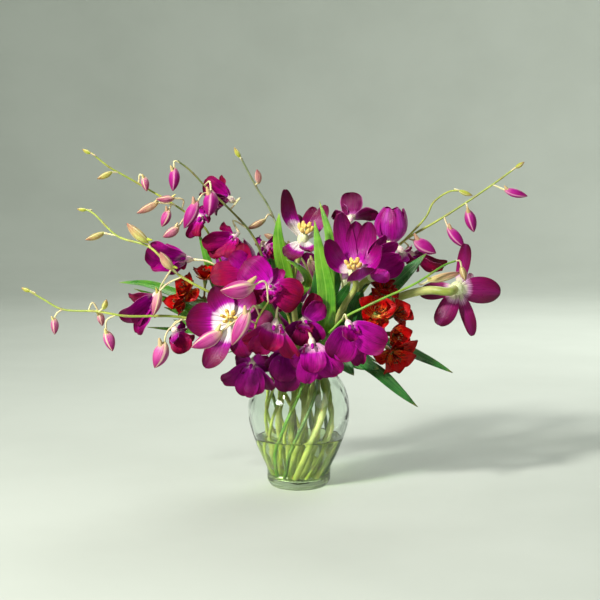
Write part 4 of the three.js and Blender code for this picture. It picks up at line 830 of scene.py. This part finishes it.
def orchid_spray(number, spray, looks):
    """A jointed cane, its buds, and the pedicels of the blooms that it carries."""
    name = f"orchid_spray_{number}"
    chance = random.Random(name)
    path = stalk_path(*spray.ring, spray.way)
    skin, buds = Skin(), Skin()
    radii = np.linspace(ORCHID_STEM, ORCHID_STEM_TIP, len(path))
    # the joints of the cane swell a little, each under a dry sheath
    steps = np.arange(len(path)) * STALK_STEP
    joints = np.exp(-(((steps % JOINT_STEP) - JOINT_STEP / 2) / JOINT_LENGTH) ** 2)
    tube(skin, path, radii * (1 + JOINT_SWELL * joints), 12, tone=chance.random(),
         v=np.repeat(np.concatenate([[0], joints, [0]]), 12))
    for bud in spray.buds:
        add_bud(skin, buds, bud, path, chance, spray.ripe)
    for bloom in ORCHIDS.values():
        if bloom.spray == number:
            end = vec(bloom.at) - unit(vec(bloom.face)) * CHIN
            row = arch(path, bloom.start, bloom.over, end)
            radii = np.interp(np.linspace(0, 1, len(row)), (0, 0.7, 1),
                              (PEDICEL, PEDICEL, PEDICEL_END))
            tube(skin, row, radii, 9, slot=1)
    skin.build(name + "_cane", [looks[spray.look], looks["pedicel"]], "spray_green", name)
    if buds.points:
        buds.build(name + "_buds", [looks["bud"]], "orchid_petal", name)


def alstroemeria_stem(name, plant, looks):
    """The stem under one head, and the leaves that grow on it."""
    path = stalk_path(*plant.ring, [*plant.way, vec(plant.hub) - UP * HUB_HALF])
    skin = Skin()
    tube(skin, path, ALSTROEMERIA_STEM, 12, tone=0.5)
    for leaf in plant.leaves + plant.low_leaves:
        add_leaf(skin, leaf, path)
    skin.build(name + "_stalk", [looks["red_stem"], looks[plant.look]], "alstroemeria_green",
               name + "_stem")


def add_leaf(skin, leaf, path):
    """A folded blade along a curve that starts on the stem's path."""
    chance = random.Random(str(leaf.spine))
    row = spaced(curve_through([nearest(path, leaf.spine[0]), *leaf.spine[1:]]), LEAF_LINE)
    slopes = np.array([unit(t) for t in np.gradient(row, axis=0)])
    facing, half = unit(vec(leaf.face)), leaf.half
    phase = [chance.uniform(0, 6.28) for _ in range(3)]

    def place(u, v):
        i = u * (len(row) - 1)
        low = min(int(i), len(row) - 2)
        centre = row[low] + (row[low + 1] - row[low]) * (i - low)
        along = slopes[low + 1]
        lateral = unit(np.cross(along, facing))
        normal = np.cross(lateral, along)
        if u < LEAF_WIDEST:
            rise = math.sin(math.pi * 0.5 * u / LEAF_WIDEST)
            width = half * (LEAF_FOOT + (1 - LEAF_FOOT) * rise)
        else:
            fall = math.cos(math.pi / 2 * (u - LEAF_WIDEST) / (1 - LEAF_WIDEST))
            width = half * max(fall, 0.0) ** 0.8
        width = max(width, 0.3)
        wave = 0.9 * abs(v) ** 2 * math.sin(7 * u + phase[0] + (v > 0)) * min(1, half / 9)
        lift = LEAF_FOLD * width * abs(v) ** 1.4 + wave + 0.5 * math.sin(5 * u + phase[1]) * v
        return centre + lateral * width * v + normal * lift, normal

    along, wide = LEAF_GRID
    shell(skin, place, np.linspace(0, 0.995, along), np.linspace(-1, 1, wide), LEAF_THICK, 1,
          chance.random())


# ---------------------------------------------------------------- the vase and its water
def turned(profile, close_start=False):
    """The points and faces that (radius, height) points sweep out round the axis."""
    around = np.linspace(0, 2 * math.pi, ROUND_SIDES, endpoint=False)
    points = [(r * math.cos(a), r * math.sin(a), z) for r, z in profile for a in around]
    return points, ring_faces(len(profile), ROUND_SIDES, close_start)


def lathe(skin, profile):
    """A body of revolution through (radius, height) points that starts and ends on the axis."""
    points, faces = turned(profile[1:-1])
    low, high = len(points), len(points) + 1
    last = len(points) - ROUND_SIDES
    for j in range(ROUND_SIDES):
        k = (j + 1) % ROUND_SIDES
        faces += [(low, k, j), (high, last + j, last + k)]
    skin.add([*points, (0, 0, profile[0][1]), (0, 0, profile[-1][1])], faces)


def rounded(outline):
    """A smooth run through the (radius, height) points of an outline."""
    return curve_through([(r, 0, z) for r, z in outline], 5)[:, [0, 2]]


def glass_vase(looks):
    """One closed skin: up the outside, over the rim and down the inside."""
    foot = [(0, 1.4), (20, 1.2), (25.5, 0.15), (28.5, 0.0), (32, 0.5)]
    rim = [(44.2, 168.6), (43.6, 169.4), (42.6, 169.5)]
    floor = [(26, 9.6), (18, 9.1), (0, VASE_FLOOR)]
    skin = Skin()
    lathe(skin, [*foot, *rounded(VASE_OUTSIDE), *rim, *rounded(VASE_INSIDE), *floor])
    skin.build("vase_glass", [looks["glass"]], "glass", "glass_vase")


def water_body(looks):
    """The water touches the glass: it reaches a hair into it, so no air shows between."""
    inside = rounded(VASE_INSIDE)[::-1]
    wall = [(r + WATER_BITE, z) for r, z in inside if 10.4 < z < WATER_LEVEL - 1.5]
    rim = wall[-1][0] + 1.6
    foot = [(0, VASE_FLOOR - 0.1), (18, 9.0), (26, 9.4)]
    # it climbs the glass a little
    top = [(rim, WATER_LEVEL + 0.5), (rim - 1.2, WATER_LEVEL - 0.1), (rim - 4, WATER_LEVEL - 0.4),
           (0, WATER_LEVEL - 0.4)]
    skin = Skin()
    lathe(skin, [*foot, *wall, *top])
    skin.build("water_body", [looks["water"]], "water", "vase_water")


# ---------------------------------------------------------------- materials
def srgb(text):
    """A colour given as on a screen, as the linear one that a shader takes."""
    parts = [int(text[i:i + 2], 16) / 255 for i in (1, 3, 5)]
    return tuple(p / 12.92 if p <= 0.04045 else ((p + 0.055) / 1.055) ** 2.4 for p in parts) + (1,)


class Value:
    """What a node gives: it can be added, subtracted and multiplied as a number can."""

    def __init__(self, look, socket):
        self.look, self.socket = look, socket

    def __add__(self, other):
        return self.look.math("ADD", self, other)

    def __sub__(self, other):
        return self.look.math("SUBTRACT", self, other)

    def __rsub__(self, other):
        return self.look.math("SUBTRACT", other, self)

    def __mul__(self, other):
        return self.look.math("MULTIPLY", self, other)

    def __abs__(self):
        return self.look.math("ABSOLUTE", self, 0.0)


class Look:
    """A material under construction: short ways to add nodes and to join them up."""
    u, v, side, tone, pale = [property(lambda self, name=name: self.field(name))
                              for name in Skin.FIELDS]

    def __init__(self, name, **sockets):
        self.material = bpy.data.materials.new(name)
        self.material.use_nodes = True
        self.tree = self.material.node_tree
        self.shader = self.tree.nodes["Principled BSDF"]
        self.fields = {}
        for socket, value in sockets.items():
            self.shader.inputs[socket.replace("_", " ")].default_value = value

    def node(self, kind, **settings):
        node = self.tree.nodes.new("ShaderNode" + kind)
        for key, value in settings.items():
            setattr(node, key, value)
        return node

    def join(self, source, socket):
        """Feed a socket: with another node's value, a colour written out or a number."""
        if isinstance(source, Value):
            self.tree.links.new(source.socket, socket)
        else:
            socket.default_value = srgb(source) if isinstance(source, str) else source

    def field(self, name):
        """One of the values that a Skin holds at each point."""
        if name not in self.fields:
            node = self.node("Attribute", attribute_name=name)
            self.fields[name] = Value(self, node.outputs["Fac"])
        return self.fields[name]

    def where(self):
        return Value(self, self.node("TexCoord").outputs["Object"])

    def math(self, operation, a, b):
        node = self.node("Math", operation=operation)
        self.join(a, node.inputs[0])
        self.join(b, node.inputs[1])
        return Value(self, node.outputs[0])

    def remap(self, value, low, high, to_low=0.0, to_high=1.0):
        node = self.node("MapRange", interpolation_type="SMOOTHSTEP")
        for socket, source in zip(node.inputs, (value, low, high, to_low, to_high)):
            self.join(source, socket)
        return Value(self, node.outputs[0])

    def ramp(self, value, *stops):
        node = self.node("ValToRGB")
        elements = node.color_ramp.elements
        for i, (place, colour) in enumerate(stops):
            element = elements[i] if i < 2 else elements.new(place)
            element.position = place
            element.color = srgb(colour)
        self.join(value, node.inputs[0])
        return Value(self, node.outputs[0])

    def mix(self, factor, a, b):
        node = self.node("Mix", data_type="RGBA")
        for source, socket in ((factor, 0), (a, 6), (b, 7)):
            self.join(source, node.inputs[socket])
        return Value(self, node.outputs[2])

    def noise(self, scale, detail=3.0, where=None):
        node = self.node("TexNoise")
        node.inputs["Scale"].default_value = scale
        node.inputs["Detail"].default_value = detail
        self.join(where or self.where(), node.inputs["Vector"])
        return Value(self, node.outputs[0])

    def streaks(self, wide, long, chance, detail=2.0):
        """Noise that lies along a petal, leaf or stem: how often it changes each way."""
        spread = self.node("CombineXYZ")
        for source, socket in zip((self.v * wide, self.u * long, self.tone * chance),
                                  spread.inputs):
            self.join(source, socket)
        return self.noise(1.0, detail, Value(self, spread.outputs[0]))

    def bump(self, height, distance, strength=0.6):
        node = self.node("Bump")
        node.inputs["Distance"].default_value = distance
        node.inputs["Strength"].default_value = strength
        self.join(height, node.inputs["Height"])
        self.join(Value(self, node.outputs[0]), self.shader.inputs["Normal"])

    def rough(self, value, low, high, smoothest, roughest):
        self.join(self.remap(value, low, high, smoothest, roughest),
                  self.shader.inputs["Roughness"])

    def colour(self, source):
        self.join(source, self.shader.inputs["Base Color"])
        return self.material


def petal_base(name, **sockets):
    """What all petals share: a soft sheen, fine ribs and darker blotches."""
    settings = dict(Roughness=0.34, Subsurface_Weight=0.04, Subsurface_Scale=0.003,
                    Specular_IOR_Level=0.14)
    look = Look(name, **{**settings, **sockets})
    # fine ribs that run from the petal's root to its tip and fan out with it
    look.ribs = look.streaks(22.0, 1.6, 31.0, 4.0)
    look.blotch = look.streaks(3.0, 4.0, 57.0)
    return look


def tulip_petal_look():
    """White at the foot, violet round it, then wine red. pale: how large the white is; below 0.25 it
    paints light, a brighter magenta.
    """
    look = petal_base("tulip_petal", Specular_IOR_Level=0.18)
    u, v, side, pale, ribs, remap = look.u, look.v, look.side, look.pale, look.ribs, look.remap
    reach = u + v * v * 0.1 + ribs * 0.12 + pale * -0.2
    bright = look.ramp(reach, (0.1, "#f4efe6"), (0.2, "#ecd0e4"), (0.27, "#c00cae"),
                       (0.42, "#a40488"), (0.7, "#8c0266"), (0.95, "#660242"))
    wine = look.ramp(reach, (0.1, "#f4efe6"), (0.2, "#ecd0e4"), (0.27, "#b00aa0"),
                     (0.38, "#8a036c"), (0.6, "#760240"), (0.86, "#54022a"))
    inner = look.mix(remap(pale, 0.4, 0.9), bright, wine)
    magenta = look.ramp(reach, (0.02, "#e4e4c0"), (0.12, "#dda6d0"), (0.26, "#b4129e"),
                        (0.6, "#960480"), (0.9, "#66033c"))
    dusky = look.ramp(reach, (0.02, "#e4e4c0"), (0.1, "#dda6d0"), (0.2, "#900a60"),
                      (0.6, "#6c023c"), (0.9, "#4a0226"))
    outer = look.mix(remap(pale, 0.4, 0.9), magenta, dusky)
    flesh = look.mix(side, outer, inner)
    # painted light: the less white a tulip has below 0.25, the more its petals are brightened to
    # magenta
    flesh = look.mix(remap(pale, 0.25, 0.0, 0.0, 0.6), flesh, "#c8149c")
    # painted sheen: a paler lilac band down each petal's middle, strongest on its outer face,
    # fainter on tulips with a large white foot
    middle = remap(abs(v), 0.0, 0.6, 0.5, 0.0) * remap(side, 0.0, 1.0, 1.0, 0.3)
    middle = middle * remap(pale, 0.4, 0.9, 1.0, 0.15)
    flesh = look.mix(middle, flesh, look.mix(side, "#c23cc0", "#b80ca8"))
    flesh = look.mix(remap(ribs, 0.38, 0.72, 0.0, 0.55), flesh, "#4a0232")
    flesh = look.mix(remap(look.blotch, 0.45, 0.8, 0.0, 0.55), flesh, "#64024c")
    look.bump(ribs, 0.0007)
    look.rough(look.blotch, 0.2, 0.8, 0.26, 0.42)
    return look.colour(flesh)


def orchid_petal_look():
    """Violet near the foot and crimson further out; a back is dark, or faded by pale. Below 0, pale
    lays painted shade over the bloom.
    """
    look = petal_base("orchid_petal", Roughness=0.4, Specular_IOR_Level=0.1)
    pale, ribs, remap = look.pale, look.ribs, look.remap
    reach = look.u + ribs * 0.14 - remap(pale, 0.5, 1.0, 0.0, 0.2)
    violet = look.ramp(reach, (0.1, "#e2aad0"), (0.2, "#c00cb0"), (0.46, "#aa0390"),
                       (0.8, "#8c0268"), (1.0, "#740244"))
    crimson = look.ramp(reach, (0.1, "#dba0c0"), (0.2, "#b40a90"), (0.4, "#a00258"),
                        (0.75, "#8c0234"), (1.0, "#700224"))
    front = look.mix(remap(look.tone, 0.25, 0.75), violet, crimson)
    dark = look.ramp(reach, (0.1, "#dfe0b8"), (0.2, "#b04a9c"), (0.32, "#7c0258"),
                     (0.7, "#640240"), (1.0, "#460226"))
    faded = look.ramp(reach, (0.14, "#f2e8d2"), (0.3, "#efc0d2"), (0.48, "#d23cb4"),
                      (0.74, "#b00a9c"), (1.0, "#8c0478"))
    back = look.mix(remap(pale, 0.0, 0.9), dark, faded)
    flesh = look.mix(look.side, back, front)
    flesh = look.mix(remap(look.blotch, 0.4, 0.8, 0.0, 0.6), flesh, "#5c0240")
    flesh = look.mix(remap(ribs, 0.48, 0.7, 0.0, 0.6), flesh, "#42022a")
    # painted shade: a bloom with pale below 0, low in the bunch, is darkened all over
    flesh = look.mix(remap(pale, 0.0, -1.0, 0.0, 0.75), flesh, "#400230")
    edge = remap(abs(look.v), 0.9, 1.0, 0.0, 0.5) * (1.0 - look.side)
    flesh = look.mix(edge, flesh, "#e49ad4")
    look.bump(ribs, 0.0007)
    look.rough(look.blotch, 0.2, 0.8, 0.36, 0.56)
    return look.colour(flesh)


def bud_look():
    """side holds a bud's size and pale how ripe it is: small and unripe buds are greener."""
    look = petal_base("orchid_bud", Roughness=0.45)
    ribs, size, remap = look.ribs, look.side, look.remap
    ragged = look.u + ribs * 0.12
    ripe = look.pale + remap(look.tone, 0, 1, -1, 1) * 0.12
    green = look.ramp(ragged, (0.08, "#b0c03c"), (0.46, "#ccca70"), (0.76, "#b8946a"),
                      (1.0, "#86484a"))
    pink = look.ramp(ragged, (0.08, "#d8d87c"), (0.24, "#e8bca8"), (0.42, "#cc64a0"),
                     (0.76, "#a02470"), (1.0, "#84404c"))
    deep = look.ramp(ragged, (0.08, "#c8c068"), (0.22, "#c46c94"), (0.4, "#a81c84"),
                     (0.76, "#8c0a66"), (1.0, "#6c2040"))
    flesh = look.mix(remap(ripe, 0.1, 0.5), green, pink)
    flesh = look.mix(remap(ripe, 0.6, 0.95), flesh, deep)
    small = look.ramp(ragged, (0.1, "#a4b83c"), (0.6, "#b2b648"), (0.86, "#9a8044"),
                      (1.0, "#7c6a34"))
    flesh = look.mix(remap(size, 0.34, 0.58), small, flesh)
    vein = remap(ribs, 0.46, 0.64, 0.0, 0.8) * remap(size, 0.3, 0.58, 0.25, 1.0)
    flesh = look.mix(vein, flesh, look.mix(remap(ripe, 0.2, 0.5), "#a06a54", "#8a0c62"))
    seam = look.mix(remap(ripe, 0.5, 0.9), "#eadfae", "#dba0b8")
    flesh = look.mix(remap(look.v, 0.88, 1.0, 0.0, 0.75), flesh, seam)
    look.bump(ribs, 0.0004, 0.4)
    return look.colour(flesh)


def red_petal_look():
    """Red with dark dashes. pale marks the slim petals inside, which have yellow streaks."""
    look = petal_base("alstroemeria_petal", Roughness=0.36)
    u, side, ribs, remap = look.u, look.side, look.ribs, look.remap
    wide = look.ramp(u, (0.0, "#e8a03a"), (0.14, "#d8341c"), (0.36, "#d20c08"),
                     (0.8, "#b40306"), (1.0, "#5c0206"))
    slim = look.ramp(u, (0.0, "#f4d468"), (0.42, "#f4b454"), (0.64, "#d4200c"),
                     (1.0, "#8c0206"))
    inner = look.mix(look.pale, wide, slim)
    # outer faces: a darker red than inside, partly the flower's own colour and partly painted shade;
    # at random some petals' backs are darker still
    outer = look.ramp(u, (0.0, "#5c0c0c"), (0.5, "#9c0608"), (1.0, "#4a0606"))
    outer = look.mix(remap(look.tone, 0.4, 1.0, 0.0, 0.6), outer, "#3c0408")
    flesh = look.mix(side, outer, inner)
    streak = remap(ribs, 0.5, 0.6) * remap(u, 0.62, 0.3)
    flesh = look.mix(streak * side, flesh, "#f09a40")
    dashes = remap(look.streaks(9.0, 7.0, 40.0), 0.55, 0.6) * remap(u, 0.8, 0.5)
    flesh = look.mix(dashes * side, flesh, "#2a0505")
    flesh = look.mix(remap(ribs, 0.4, 0.75, 0.0, 0.4), flesh, "#6c0406")
    look.bump(ribs, 0.0005, 0.5)
    return look.colour(flesh)


def stalk_look(name, pale, deep, old):
    """A green stem: long fibres, a chance shift of hue along it, and faint scars."""
    look = Look(name, Subsurface_Weight=0.08, Subsurface_Scale=0.003)
    drift = look.noise(38.0)
    fibre = look.streaks(14.0, 40.0, 9.0, 3.0)
    flesh = look.mix(look.remap(drift, 0.35, 0.7), deep, pale)
    flesh = look.mix(look.remap(fibre, 0.5, 0.8, 0.0, 0.5), flesh, old)
    look.bump(fibre, 0.0003, 0.5)
    look.rough(drift, 0.3, 0.7, 0.32, 0.52)
    return look.colour(flesh)


def cane_look(name, pale, deep, old):
    """An orchid cane: v is 1 at its joints, which are browner and dry."""
    look = Look(name)
    drift, grain = look.noise(45.0, 4.0), look.noise(400.0)
    flesh = look.mix(look.remap(drift, 0.35, 0.68), deep, pale)
    flesh = look.mix(look.v * 0.7, flesh, old)
    flesh = look.mix(look.remap(grain, 0.62, 0.75, 0.0, 0.45), flesh, old)
    look.bump(grain, 0.0002, 0.5)
    look.rough(drift, 0.3, 0.7, 0.36, 0.56)
    return look.colour(flesh)


def leaf_look(name, light, deep, under, vein, gloss):
    """A leaf with parallel veins and a midrib, paler underneath and yellowing at its tip."""
    look = Look(name, Subsurface_Weight=0.1, Subsurface_Scale=0.003)
    lines, patch = look.streaks(16.0, 0.8, 23.0), look.noise(60.0)
    flesh = look.mix(look.remap(patch, 0.3, 0.7), deep, light)
    flesh = look.mix(look.remap(look.side, 0.2, 0.8, 0.75, 0.0), flesh, under)
    flesh = look.mix(look.remap(lines, 0.5, 0.68, 0.0, 0.5), flesh, vein)
    flesh = look.mix(look.remap(abs(look.v), 0.0, 0.09, 0.6, 0.0), flesh, vein)
    flesh = look.mix(look.remap(look.u, 0.9, 1.0, 0.0, 0.35), flesh, "#a8a04a")
    look.bump(lines, 0.0006)
    look.rough(patch, 0.3, 0.7, gloss - 0.06, gloss + 0.1)
    return look.colour(flesh)


def speckled_look(name, base, other, scale, roughness, depth=0.0003):
    """Two tones in a fine grain."""
    look = Look(name)
    grain = look.noise(scale, 4.0)
    look.bump(grain, depth, 0.8)
    look.rough(grain, 0.3, 0.7, roughness - 0.1, roughness + 0.1)
    return look.colour(look.mix(look.remap(grain, 0.35, 0.7), base, other))


def let_light_in(look, tint):
    """The lamps shine through: for a shadow the glass counts as clear, so no caustics are needed."""
    clear = look.node("BsdfTransparent")
    clear.inputs["Color"].default_value = srgb(tint)
    either = look.node("MixShader")
    link = look.tree.links.new
    link(look.node("LightPath").outputs["Is Shadow Ray"], either.inputs[0])
    link(look.shader.outputs[0], either.inputs[1])
    link(clear.outputs[0], either.inputs[2])
    link(either.outputs[0], look.tree.nodes["Material Output"].inputs["Surface"])


def glass_look():
    """Clear blown glass: faint waves inside it, a trace of smear and a greener thick foot."""
    look = Look("clear_glass", IOR=1.5, Transmission_Weight=1.0)
    waves = look.noise(20.0, 2.0)
    look.bump(waves, 0.0045, 0.8)
    let_light_in(look, "#f2f6f2")
    look.rough(look.noise(90.0), 0.45, 0.8, 0.0, 0.05)
    clear = look.mix(look.remap(waves, 0.3, 0.7), "#f6fbf6", "#eff7f0")
    place = look.node("SeparateXYZ")
    look.join(look.where(), place.inputs[0])
    thick_foot = look.remap(Value(look, place.outputs["Z"]), 0.006, 0.016, 0.8, 0.0)
    return look.colour(look.mix(thick_foot, clear, "#cfe3b4"))


def water_look():
    look = Look("vase_water", IOR=1.33, Transmission_Weight=1.0)
    drift = look.noise(30.0, 2.0)
    look.bump(drift, 0.0008, 0.25)
    let_light_in(look, "#f4f8ea")
    look.rough(look.noise(120.0, 2.0), 0.5, 0.8, 0.0, 0.04)
    return look.colour(look.mix(look.remap(drift, 0.3, 0.7), "#edf4cf", "#dfebb4"))


def make_looks():
    return {
        "tulip": tulip_petal_look(),
        "orchid": orchid_petal_look(),
        "bud": bud_look(),
        "red": red_petal_look(),
        "heart": speckled_look("tulip_heart", "#e9ecc4", "#c6d38a", 500.0, 0.5),
        "anther": speckled_look("anther", "#f3da80", "#e2ac44", 900.0, 0.8),
        "pollen": speckled_look("pollen", "#4a3020", "#7a5a30", 900.0, 0.8),
        "column": speckled_look("orchid_column", "#efe6c6", "#d9a9c4", 260.0, 0.45),
        "red_stalk": speckled_look("floret_stalk", "#5c7a2c", "#8a3a24", 160.0, 0.5),
        "pedicel": speckled_look("pedicel", "#dcd9a0", "#cdb08e", 150.0, 0.45),
        "tulip_stem": stalk_look("tulip_stem", "#c2c474", "#8a9a3c", "#d8d6a4"),
        "red_stem": stalk_look("alstroemeria_stem", "#6c8c38", "#3c5c24", "#8a9c58"),
        "spray": cane_look("orchid_cane", "#b4c052", "#8a9c3a", "#90804a"),
        "dark_spray": cane_look("orchid_cane_dark", "#84843f", "#5c6a34", "#64502f"),
        "grey_spray": cane_look("orchid_cane_grey", "#8f9a70", "#6c7a50", "#7a6a50"),
        "green_spray": cane_look("orchid_cane_green", "#7fae34", "#558a24", "#7f7a34"),
        "tulip_leaf": leaf_look("tulip_leaf", "#6cac24", "#468a18", "#7cac54", "#9aca50", 0.34),
        # bright_leaf is partly painted light and dark_leaf partly painted shade, on the same kind of
        # leaf
        "dark_leaf": leaf_look("alstroemeria_leaf", "#2a7428", "#104a16", "#3c7650", "#58924c",
                               0.3),
        "bright_leaf": leaf_look("alstroemeria_leaf_bright", "#56a428", "#2a7818", "#5c9440",
                                 "#8cc458", 0.32),
        "glass": glass_look(),
        "water": water_look(),
    }


# ---------------------------------------------------------------- floor, light and camera
def backdrop():
    """A pale round floor that sweeps up into a wall all round, well behind any camera."""
    skirt = np.linspace(0, math.pi / 2, 16)
    profile = [(FLOOR_RADIUS * share, 0) for share in (0.1, 0.4, 0.7)]
    profile += [(FLOOR_RADIUS + SWEEP * math.sin(a), SWEEP * (1 - math.cos(a))) for a in skirt]
    profile += [(FLOOR_RADIUS + SWEEP, WALL_TOP)]
    points, faces = turned(profile, close_start=True)
    mesh = bpy.data.meshes.new("backdrop")
    mesh.from_pydata(points, [], faces)
    mesh.polygons.foreach_set("use_smooth", [True] * len(faces))
    mesh.materials.append(speckled_look("backdrop", "#c0c6bc", "#bbc1b7", 3.0, 0.85, 0.0))
    sheet = bpy.data.objects.new("backdrop", mesh)
    bpy.context.scene.collection.objects.link(sheet)


def area_light(name, place, target, size, power, colour, beam=180):
    light = bpy.data.lights.new(name, "AREA")
    light.shape, light.size, light.spread = "DISK", size, math.radians(beam)
    light.energy, light.color = power, colour
    lamp = bpy.data.objects.new(name, light)
    lamp.location = place
    lamp.rotation_euler = (Vector(target) - Vector(place)).to_track_quat("-Z", "Y").to_euler()
    bpy.context.scene.collection.objects.link(lamp)


def sky():
    """Soft light from all round, brighter from above."""
    world = bpy.data.worlds.new("studio")
    bpy.context.scene.world = world
    world.use_nodes = True
    tree = world.node_tree
    height = tree.nodes.new("ShaderNodeSeparateXYZ")
    tree.links.new(tree.nodes.new("ShaderNodeTexCoord").outputs["Generated"], height.inputs[0])
    dome = tree.nodes.new("ShaderNodeValToRGB")
    dome.color_ramp.elements[0].color = srgb("#3e423e")
    dome.color_ramp.elements[1].color = srgb("#f0f4f0")
    tree.links.new(height.outputs["Z"], dome.inputs[0])
    light = tree.nodes["Background"]
    tree.links.new(dome.outputs[0], light.inputs["Color"])
    light.inputs["Strength"].default_value = SKY_STRENGTH


def studio():
    """The lamps, and the camera at the photograph's viewing angle."""
    bpy.context.scene.view_settings.view_transform = "Standard"
    sky()
    middle = (0, 0, 0.24)
    area_light("key", (-1.5, -1.5, 1.5), middle, 0.3, 24.5, (1, 0.98, 0.94), beam=100)
    area_light("fill", (1.8, -1.4, 0.9), middle, 1.4, 5, (0.95, 0.98, 1))
    area_light("back", (0.6, 1.5, 1.5), middle, 0.9, 16, (1, 1, 1))
    area_light("wall", (1.7, 0.8, 1.3), (0.7, 3.4, 1.0), 0.6, 38, (0.98, 1, 0.98))
    area_light("window", (-0.9, -0.8, 0.5), (0, 0, 0.1), 0.25, 2.5, (1, 1, 1))
    camera = bpy.data.cameras.new("camera")
    camera.sensor_width = 36
    camera.lens = CAMERA_LENS
    eye = bpy.data.objects.new("camera", camera)
    eye.location = CAMERA_PLACE
    eye.rotation_euler = (math.radians(CAMERA_TILT), 0, 0)
    bpy.context.scene.collection.objects.link(eye)
    bpy.context.scene.camera = eye


def main():
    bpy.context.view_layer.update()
    looks = make_looks()
    for number, tulip in TULIPS.items():
        tulip_stem(f"tulip_{number}", tulip, looks)
        tulip_flower(f"tulip_{number}", tulip, looks)
    for number, spray in SPRAYS.items():
        orchid_spray(number, spray, looks)
    for number, bloom in ORCHIDS.items():
        orchid_flower(f"orchid_bloom_{number}", bloom, looks)
    for place, plant in ALSTROEMERIAS.items():
        alstroemeria_stem(f"alstroemeria_{place}", plant, looks)
        alstroemeria_heads(f"alstroemeria_{place}", plant, looks)
    glass_vase(looks)
    water_body(looks)
    backdrop()
    studio()


main()
